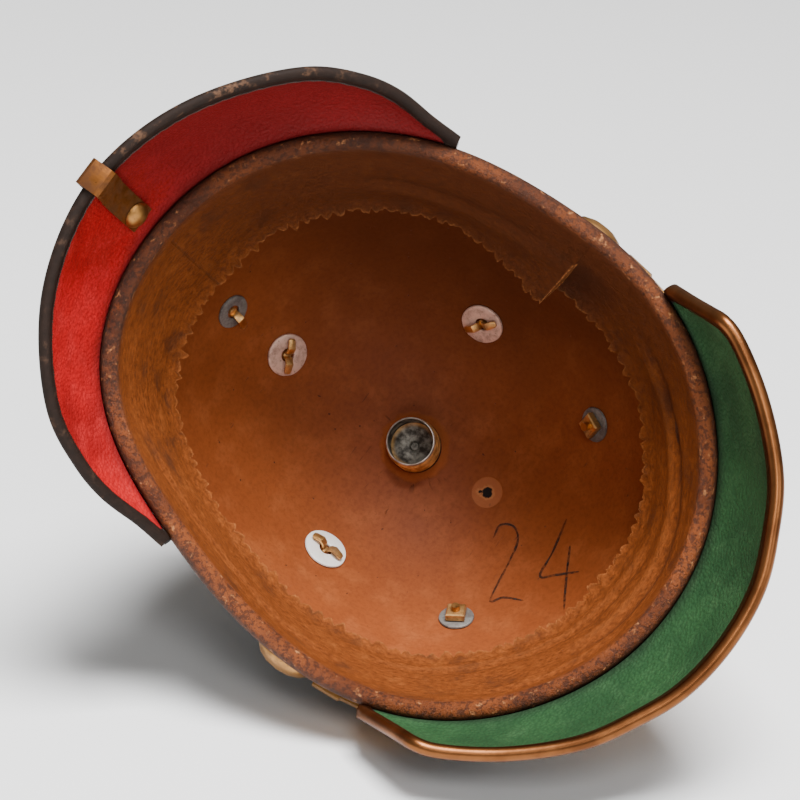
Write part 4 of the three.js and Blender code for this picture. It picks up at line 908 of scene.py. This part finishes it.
trim_outline = round_section(radius=2.35, centre_in=-0.35, lap=4.4, wall=0.6)
trim_loops = channel_loops(front_surface, trim_outline)
trim_points, trim_faces = ring_solid(trim_loops)


def trim_metal():
    m = Recipe("trim_brass")
    bead = m.attribute("bead")
    patina = m.noise(14, 7, roughness=0.6)
    color = m.mix(patina.ramp(0.3, 0.7), (0.070, 0.020, 0.006), (0.042, 0.012, 0.004))
    bright = m.mix(m.noise(12, 6).ramp(0.35, 0.7), (0.20, 0.074, 0.024), (0.11, 0.038, 0.012))
    color = m.mix(bead, color, bright)
    green_spots = m.noise(2.2, 4).ramp(0.66, 0.72)
    color = m.mix(green_spots * 0.35 * (1 - bead), color, (0.10, 0.11, 0.06))
    scratches = m.noise(0.8, 3, m.stretched(0.2, 1, 1))
    roughness = 0.40 - 0.12 * bead + 0.12 * patina
    return m.done(color, roughness, 0.9, scratches * 0.4 + patina * 0.3, 0.25, shine=0.2)


bead_share = np.array([1.0 if inward < -1.2 else 0.0 for inward, up in trim_outline])
make("front_visor_trim_metal", trim_points, trim_faces, [trim_metal()], ["front_visor_trim"],
     attributes={"bead": np.tile(bead_share, len(trim_loops))}, sharp=50)

binding_outline = round_section(radius=1.9, centre_in=0.35, lap=3.6, wall=0.55)


def jag(column, up):
    return 0.35 * math.sin(column * 2.6) + 0.25 * math.sin(column * 1.13 + up)


binding_loops = channel_loops(rear_surface, binding_outline, jag)
binding_points, binding_faces = ring_solid(binding_loops)


def binding_leather():
    m = Recipe("binding_leather")
    scuff = m.noise(6, 6, roughness=0.7)
    top_side = m.away((35.0, -108.0, -20.0)).ramp(62, 20)
    worn = scuff.ramp(0.58, 0.7)
    color = m.mix(m.noise(3, 4), (0.008, 0.006, 0.005), (0.026, 0.015, 0.011))
    outer = m.attribute("outer")
    color = m.mix(worn * 0.22, color, (0.14, 0.075, 0.045))
    color = m.mix(top_side * outer * scuff.ramp(0.5, 0.64) * 0.4, color, (0.26, 0.13, 0.07))
    height = scuff + 0.4 * m.noise(0.9, 4)
    return m.done(color, 0.5 + 0.3 * scuff, 0.0, height, 0.6, fine=0.5, shine=0.09)


def stitches():
    """Short slanted threads on the binding's inner edge, under the guard."""
    grid, normals = rear_surface
    parts = []
    for c in range(3, LEAF_COLUMNS - 3):
        along = grid[c + 1][-1] - grid[c - 1][-1]
        along /= np.linalg.norm(along)
        normal = -normals[c][-1]
        for half in (0, 0.5):
            line = grid[c] * (1 - half) + grid[c + 1] * half
            inward = inwards(line)
            centre = line[-1] + inward * (3.5 + 0.3 * math.sin(c * 1.9)) + normal * (SLOT_HALF + 0.45)
            direction = inward * 0.8 + along * 0.6
            side = np.cross(direction, normal)
            ring = []
            for t, width in ((-1, 0.1), (-0.6, 0.28), (0.6, 0.28), (1, 0.1)):
                middle = centre + direction * t * 0.75 - normal * 0.25 * t * t
                corners = (side, normal, -side, -normal)
                ring.append(np.array([middle + corner * width for corner in corners]))
            parts.append((*ring_solid(ring), 1))
    return parts


thread = dark_leather("waxed_thread", (0.02, 0.014, 0.010), (0.09, 0.055, 0.035))
points, faces, kinds = merged([(binding_points, binding_faces, 0)] + stitches())
outer_share = np.array([1.0 if inward < -0.6 else 0.0 for inward, up in binding_outline])
outer_side = np.zeros(len(points))
outer_side[:len(binding_points)] = np.tile(outer_share, len(binding_loops))
make("rear_visor_binding_sewn", points, faces, [binding_leather(), thread],
     ["rear_visor_binding"], kinds, {"outer": outer_side}, sharp=50)
print("trim and binding of", len(trim_loops), "sections each")

# %% [markdown]
# ## Metal inside the crown
# Split studs hold the base: their two legs come through a round washer and are bent over. Square
# nuts hold the front plate's posts. The spike screws into a threaded tube.

# %% Washers, studs, nuts and socket
STUDS = [
    {"name": "right", "x": 48.5, "y": -5, "turn": 27, "radius": 7.7, "prongs": 2, "metal": "pink"},
    {"name": "left", "x": -49.2, "y": -2, "turn": 94, "radius": 7.9, "prongs": 2, "metal": "tinned"},
    {"name": "rear", "x": -1.6, "y": -54.4, "turn": 142, "radius": 7.7, "prongs": 2, "metal": "pink"},
    {"name": "spine", "x": -1.8, "y": -76.6, "turn": 97, "radius": 6.2, "prongs": 1, "metal": "grey"},
]
POSTS = [
    {"name": "right", "x": 42.4, "y": 48.3, "turn": 25},
    {"name": "left", "x": -41, "y": 49.5, "turn": 65},
]
fittings = metal("fixing_brass", (0.74, 0.42, 0.15), (0.26, 0.13, 0.055), 0.55, 0.3)
WASHER_METALS = {
    "pink": metal("tarnished_washer", (0.74, 0.50, 0.40), (0.34, 0.20, 0.15), 0.56, 0.34, 4, 0.5, 0.35),
    "grey": metal("grey_washer", (0.27, 0.26, 0.24), (0.12, 0.10, 0.09), 0.5, 0.36, 5, 0.5, 0.5),
    "tinned": metal("tinned_washer", (0.93, 0.90, 0.84), (0.60, 0.50, 0.38), 0.68, 0.32, 9, 0.25, 0.15),
}
WASHER_CLEAR = 0.15
POST_WASHER = 6.2
NUT_HALF = 3.3


def seat(frame_at, radius):
    """How far in a flat ring has to sit to clear the dome."""
    deepest = -20.0
    for i in range(12):
        a = i * math.pi / 6
        p = placed(frame_at, [(radius * math.cos(a), radius * math.sin(a), 0)])[0]
        inward = frame_at[0][:, 2]
        low = dome_height(p[0], p[1])
        deepest = max(deepest, (low - p[2]) * inward[2])
    return max(deepest, 0.0)


def washer_shape(radius, bore, low, seed):
    profile = [(bore, low), (radius - 0.2, low), (radius, low + 0.3), (radius - 0.15, low + 0.75),
               (radius - 0.8, low + 0.95), (radius * 0.6, low + 0.8), (bore + 0.5, low + 0.9),
               (bore, low + 0.7), (bore, low)]
    turns = 48
    loops = []
    for i in range(turns):
        a = 2 * math.pi * i / turns
        grow = 1 + 0.02 * noise.noise(Vector((math.cos(a) * 2, math.sin(a) * 2, seed)))
        x, y = grow * math.cos(a), grow * math.sin(a)
        loops.append(np.array([(r * x, r * y, h) for r, h in profile[:-1]]))
    return ring_solid(loops, True)


def prong_shape(side, top, length, bend, width=2.8):
    """One leg of a split stud, coming up out of the washer and bent over."""
    loops = []
    # How far out, how far up and the share of its width.
    rows = [(0.9, -0.6, 1), (0.95, 0.5, 1), (1.5, 1.3, 1), (2.8, 2.0 + bend, 1),
            (length - 0.8, 1.2 + 2 * bend, 0.9), (length, 0.9 + 2.2 * bend, 0.6)]
    for i, (out, up, wide) in enumerate(rows):
        before, after = rows[max(0, i - 1)], rows[min(len(rows) - 1, i + 1)]
        along = np.array((after[0] - before[0], after[1] - before[1]))
        along /= np.linalg.norm(along)
        normal = np.array((-along[1], along[0])) * 0.45
        loop = []
        for w, s in ((-1, 1), (1, 1), (1, -1), (-1, -1)):
            q = np.array((out, up)) + normal * s
            loop.append((side * q[0], w * width / 2 * wide, top + q[1]))
        loops.append(np.array(loop))
    return ring_solid(loops)


for stud in STUDS:
    on_strip = stud["name"] == "spine"
    node = "spine_stud" if on_strip else "base_stud_" + stud["name"]
    leg, bend, lift = (7.5, 0.35, 0.3) if on_strip else (6.4, 0.1, 0)
    at = dome_frame(stud["x"], stud["y"], stud["turn"])
    low = seat(at, stud["radius"]) + WASHER_CLEAR
    points, faces = washer_shape(stud["radius"], 2.5, low, stud["turn"])
    make("washer_" + stud["name"] + "_metal", placed(at, points), faces, [WASHER_METALS[stud["metal"]]],
         ["washer_" + stud["name"]])
    parts = [(*prong_shape(side, low + 0.9, leg, bend), 0) for side in (1, -1)[:stud["prongs"]]]
    head = [(0, -6.5), (2.4, -6.2), (4.2, -5), (5, -3), (4.9, -2.0), (1.5, -2.0)]
    head = [(r, h - SHELL_WALL) for r, h in head] + [(1.5, low + 0.4), (0, low + 0.5)]
    parts.append((*lathe([(r, h + lift) for r, h in head], 28), 0))
    points, faces, kinds = merged(parts)
    make(node + "_split", placed(at, points), faces, [fittings], [node], kinds, bevel=0.15)

for post in POSTS:
    at = dome_frame(post["x"], post["y"], post["turn"])
    low = seat(at, POST_WASHER) + WASHER_CLEAR
    points, faces = washer_shape(POST_WASHER, 1.8, low, post["turn"])
    make("washer_post_" + post["name"] + "_metal", placed(at, points), faces, [WASHER_METALS["grey"]],
         ["washer_post_" + post["name"]])
    base, top = low + 1.2, low + 4.0
    corners = np.array(((-1, -1), (1, -1), (1, 1), (-1, 1))) * NUT_HALF
    block = [np.column_stack((corners * share, np.full(4, z)))
             for z, share in ((base, 0.94), (base + 0.35, 1), (top - 0.5, 1), (top, 0.86))]
    turns = [(1.5 if i % 2 else 1.25, top - 0.3 + i * 0.3) for i in range(7)]
    thread_end = lathe([(0, top - 0.4)] + turns + [(0, top + 1.7)], 20)
    points, faces, kinds = merged([(*ring_solid(block), 0), (*thread_end, 0)])
    make("nut_" + post["name"] + "_square", placed(at, points), faces, [fittings],
         ["nut_" + post["name"]], kinds, sharp=30)


def socket_shape():
    """A tube with a real helix outside, open towards the head and closed above."""
    turns = 72
    top = SHELL_WALL + 24
    mouth = -SOCKET_REACH
    heights = [mouth + 1.9 + i * 0.25 for i in range(44)]
    rim = [(SOCKET_BORE, top), (SOCKET_BORE, mouth + 0.4), (SOCKET_BORE + 0.2, mouth),
           (SOCKET_RADIUS - 0.1, mouth), (SOCKET_RADIUS + 0.1, mouth + 0.2),
           (SOCKET_RADIUS + 0.1, mouth + 1.3), (SOCKET_RADIUS, mouth + 1.6)]
    loops = []
    for i in range(turns):
        a = 2 * math.pi * i / turns
        loop = list(rim)
        for z in heights:
            phase = (z / THREAD_PITCH - i / turns) % 1
            crest = max(0.0, 1 - abs(phase - 0.5) / 0.28)
            fade = min(1.0, (z - mouth - 1.8) / 0.8)
            loop.append((SOCKET_RADIUS + THREAD_HEIGHT * math.sqrt(crest) * fade, z))
        loop.append((SOCKET_RADIUS, top))
        loops.append(np.array([(r * math.cos(a), r * math.sin(a), z) for r, z in loop]))
    end = [(0, 1.5), (SOCKET_BORE + 0.3, 1.5), (SOCKET_BORE + 0.3, -4.6), (6.6, -3.4), (4.6, -2.4),
           (2.3, -1.9), (1.5, -1.6), (1.3, -0.9), (0, -0.9)]
    return merged([(*ring_solid(loops, True), 0), (*lathe(end), 0)])


def socket_metal():
    m = Recipe("socket_metal")
    ring = m.attribute("rim")
    brown = m.mix(m.noise(3, 6).ramp(0.35, 0.65), (0.92, 0.56, 0.19), (0.46, 0.23, 0.075))
    white = m.mix(m.noise(4, 6).ramp(0.4, 0.65), (0.64, 0.60, 0.54), (0.34, 0.29, 0.24))
    inside = m.mix(m.noise(2.5, 5).ramp(0.35, 0.7), (0.045, 0.036, 0.028), (0.30, 0.27, 0.22))
    color = m.mix(m.attribute("deep"), m.mix(ring, brown, white), inside)
    return m.done(color, 0.34 + 0.3 * m.noise(3, 5), 0.5, m.noise(1.2, 4), 0.2)


points, faces, kinds = socket_shape()
from_mouth = points[:, 2] + SOCKET_REACH
deep = (np.hypot(points[:, 0], points[:, 1]) < SOCKET_BORE + 0.1) & (from_mouth > 0.3)
make("spike_socket_threaded", placed(CROWN, points), faces, [socket_metal()],
     ["spike_socket"], kinds, {"deep": deep, "rim": from_mouth < 1.7}, sharp=60)
print("washers, studs, nuts and socket made")

# %% [markdown]
# ## The ink
# A size was once written inside with a pen. Plain numerals stand in its place, each stroke a
# thin strip that follows the dome.

# %% Numerals
# Each stroke's middle along the line, and its few points in millimetres.
NUMERALS = [
    {"at": -7.5, "run": [(-5.0, 9.5), (-2.5, 14.0), (2.0, 13.5), (3.6, 9.0), (0.5, 1.0), (-4.2, -8.0),
                         (-6.4, -13.5), (-2.0, -12.0), (5.2, -13.2)]},
    {"at": 9.5, "run": [(3.4, 15.5), (-1.5, 4.0), (-6.0, -4.8), (-0.5, -4.2), (7.2, -3.2)]},
    {"at": 9.5, "run": [(4.4, 6.0), (3.0, -4.0), (1.6, -16.5)]},
]
INK_PLACE = np.array((-10.0, 58.5))
INK_RIGHT = np.array((0.595, 0.804))
INK_UP = np.array((0.804, -0.595))
INK_LIFT = 0.2
STROKE_STEPS = 60


def ink_stroke(run, at):
    controls = [np.array((x + at, y, 0.0)) for x, y in run]
    line = by_length(smooth_run(controls, 12), np.linspace(0, 1, STROKE_STEPS))
    last = STROKE_STEPS - 1
    loops = []
    for i, p in enumerate(line):
        along = line[min(i + 1, last)] - line[max(i - 1, 0)]
        along /= np.linalg.norm(along)
        side = np.array((-along[1], along[0]))
        width = 0.36 + 0.15 * noise.noise(Vector((i * 0.17, at, 0)))
        width *= min(1, 0.35 + i / 5, 0.35 + (last - i) / 5)
        loop = []
        for s, lift in ((-1, 0.03), (1, 0.03), (1, -0.25), (-1, -0.25)):
            q = p[:2] + side * s * width
            plan = INK_PLACE + INK_RIGHT * q[0] + INK_UP * q[1]
            loop.append((plan[0], plan[1], dome_height(*plan) - INK_LIFT - lift))
        loops.append(np.array(loop))
    return ring_solid(loops)


def ink():
    m = Recipe("faded_ink")
    fade = m.noise(2.2, 5, roughness=0.7).ramp(0.36, 0.62)
    m.put(m.surface.inputs["Alpha"], 0.22 + 0.6 * fade)
    return m.done((0.028, 0.020, 0.016), 0.5)


points, faces, kinds = merged([(*ink_stroke(row["run"], row["at"]), 0) for row in NUMERALS])
make("ink_numerals", points, faces, [ink()], [], kinds, sharp=80)
print("numerals of", len(NUMERALS), "strokes")

# %% [markdown]
# ## The outside
# The spike and its base, the plate, the strip, the bosses and the chin strap are mostly hidden
# here. Each copies its solid, with eased edges and worn metal or leather.

# %% The outside
old_brass = metal("old_brass", (0.44, 0.22, 0.070), (0.16, 0.078, 0.028), 0.55, 0.26, 12, 0.5, 0.95)
strip_brass = metal("strip_brass", (0.17, 0.060, 0.013), (0.085, 0.030, 0.009), 0.5, 0.38, 5, 0.5, 0.85)
rivet_brass = metal("rivet_brass", (0.34, 0.165, 0.048), (0.22, 0.100, 0.030), 0.6, 0.34, 9, 0.6, 1.0)
strap_leather = dark_leather("strap_leather", (0.035, 0.018, 0.010), (0.16, 0.08, 0.04), 0.6, 0.4)


def helmet_points(node):
    """A solid's mesh with equal points joined, and its points in the helmet's own frame."""
    work = bmesh.new()
    work.from_mesh(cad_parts[node].data)
    bmesh.ops.remove_doubles(work, verts=work.verts, dist=2e-6)
    bmesh.ops.dissolve_limit(work, angle_limit=math.radians(1), verts=work.verts, edges=work.edges)
    work.verts.index_update()
    points = np.array([tuple(v.co) for v in work.verts])
    faces = [[v.index for v in f.verts] for f in work.faces]
    work.free()
    return (points * 1000 - LAY_ORIGIN) @ LAY, faces


# Pieces that copy their solid, with its facets smoothed. Most are brass.
DRESSED = [
    {"node": "spike_base", "as": "cross"},
    {"node": "helmet_plate", "as": "rays"},
    {"node": "rear_spine", "as": "strip", "material": strip_brass, "bevel": 0.15},
    {"node": "chin_strap", "as": "leather", "material": strap_leather, "slot": "strap_leather"},
    {"node": "chin_scales_right", "as": "run", "sharp": 20},
    {"node": "chin_scales_left", "as": "run", "sharp": 20},
    {"node": "strap_buckle", "as": "plate", "bevel": 0.3},
    {"node": "base_stud_front", "as": "head", "slot": "fixing_metal", "sharp": 50},
    {"node": "strap_boss_right", "as": "domed", "sharp": 50},
    {"node": "strap_boss_left", "as": "domed", "sharp": 50},
    {"node": "spike", "as": "cone", "sharp": 40},
]
for row in DRESSED:
    points, faces = helmet_points(row["node"])
    make(row["node"] + "_" + row["as"], points, faces, [row.get("material", old_brass)],
         [row["node"]], sharp=row.get("sharp", 32), bevel=row.get("bevel", 0))

# The rivet's head stands on the strip, square to the neck guard there.
rivet_points = helmet_points("spine_rivet")[0]
rivet_middle = (rivet_points.min(axis=0) + rivet_points.max(axis=0)) / 2
middle_line, middle_normals = (layer[LEAF_COLUMNS // 2] for layer in rear_surface)
rivet_way = -middle_normals[np.argmin(np.linalg.norm(middle_line - rivet_middle, axis=1))]
rivet_side = np.cross(rivet_way, (1.0, 0.0, 0.0))
rivet_side /= np.linalg.norm(rivet_side)
rivet_axes = np.column_stack((np.cross(rivet_side, rivet_way), rivet_side, rivet_way))
reaches = (rivet_points - rivet_middle) @ rivet_way
low, top = float(reaches.min()), float(reaches.max())
head = [(0, 0.5), (1.2, 0.38), (2.3, 0), (3.5, -0.7), (4.3, -1.55), (4.55, -2.3), (1.5, -2.3)]
points, faces = lathe([(r, h + top) for r, h in head] + [(1.5, low), (0, low)], 36)
make("spine_rivet_domed", placed((rivet_axes, rivet_middle), points), faces, [rivet_brass],
     ["spine_rivet"], sharp=50)
print(len(DRESSED), "solids dressed, rivet head", round(top, 2), "mm over its middle")

# %% [markdown]
# ## Floor, light and camera
# A pale floor carries the helmet. A large soft light hangs above, a weaker one stands in front,
# and the camera looks into the opening as in the picture.

# %% Floor, light and camera
FLOOR_HALF = 8.0
floor_mesh = bpy.data.meshes.new("floor")
floor_corners = [(x * FLOOR_HALF, y * FLOOR_HALF, 0) for x, y in ((-1, -1), (1, -1), (1, 1), (-1, 1))]
floor_mesh.from_pydata(floor_corners, [], [(0, 1, 2, 3)])
floor = bpy.data.objects.new("floor", floor_mesh)
bpy.context.scene.collection.objects.link(floor)
pale = bpy.data.materials.new("pale_floor")
pale.use_nodes = True
pale_surface = pale.node_tree.nodes["Principled BSDF"]
pale_surface.inputs["Base Color"].default_value = (0.97, 0.97, 0.97, 1)
pale_surface.inputs["Roughness"].default_value = 0.9
floor_mesh.materials.append(pale)

# The camera as fitted to the picture: millimetres, radians, degrees and pixels.
CAMERA_DISTANCE = 1100
CAMERA_TO_FRONT = 0.05
CAMERA_TO_LEFT = 0.053
CAMERA_ROLL = 36.53
PIXELS_PER_MM = 3.1159
PICTURE = 800
CENTRE_X = 409.97
CENTRE_Y = 419.93
SENSOR = 36

away = np.array((-math.tan(CAMERA_TO_LEFT), math.tan(CAMERA_TO_FRONT), -1.0))
away /= np.linalg.norm(away)
roll = math.radians(CAMERA_ROLL)
right = np.array((math.sin(roll), math.cos(roll), 0.0))
right -= away * (right @ away)
right /= np.linalg.norm(right)
down = np.cross(-away, right)
axes = Matrix([[float(v) for v in LAY @ side] for side in (right, -down, away)]).transposed()
eye = to_row([away * CAMERA_DISTANCE])[0]
camera_data = bpy.data.cameras.new("camera")
camera = bpy.data.objects.new("camera", camera_data)
bpy.context.scene.collection.objects.link(camera)
camera.matrix_world = Matrix.Translation(Vector(eye)) @ axes.to_4x4()
camera_data.sensor_width = SENSOR
camera_data.lens = PIXELS_PER_MM * CAMERA_DISTANCE * SENSOR / PICTURE
camera_data.shift_x = -(CENTRE_X - PICTURE / 2) / PICTURE
camera_data.shift_y = (CENTRE_Y - PICTURE / 2) / PICTURE
camera_data.clip_start = 0.05
bpy.context.scene.camera = camera

LIGHT_AIM = Vector((0, 0, 0.09))
LIGHTS = [
    {"name": "overhead", "at": (0.3, -0.9, 2.6), "size": 1.2, "power": 200},
    {"name": "front", "at": (0.1, -1.2, 0.85), "size": 0.35, "power": 5},
    {"name": "right", "at": (1.3, -1.2, 0.8), "size": 0.5, "power": 6},
]
for row in LIGHTS:
    data = bpy.data.lights.new(row["name"], "AREA")
    data.energy = row["power"]
    data.size = row["size"]
    light = bpy.data.objects.new(row["name"], data)
    bpy.context.scene.collection.objects.link(light)
    light.location = row["at"]
    light.rotation_euler = (LIGHT_AIM - Vector(row["at"])).to_track_quat("-Z", "Y").to_euler()

world = bpy.data.worlds.new("studio")
world.use_nodes = True
background = world.node_tree.nodes["Background"]
background.inputs["Color"].default_value = (0.95, 0.93, 0.90, 1)
background.inputs["Strength"].default_value = 0.18
bpy.context.scene.world = world
print("camera", CAMERA_DISTANCE, "mm away, lens", round(camera_data.lens), "mm,", len(LIGHTS), "lights")
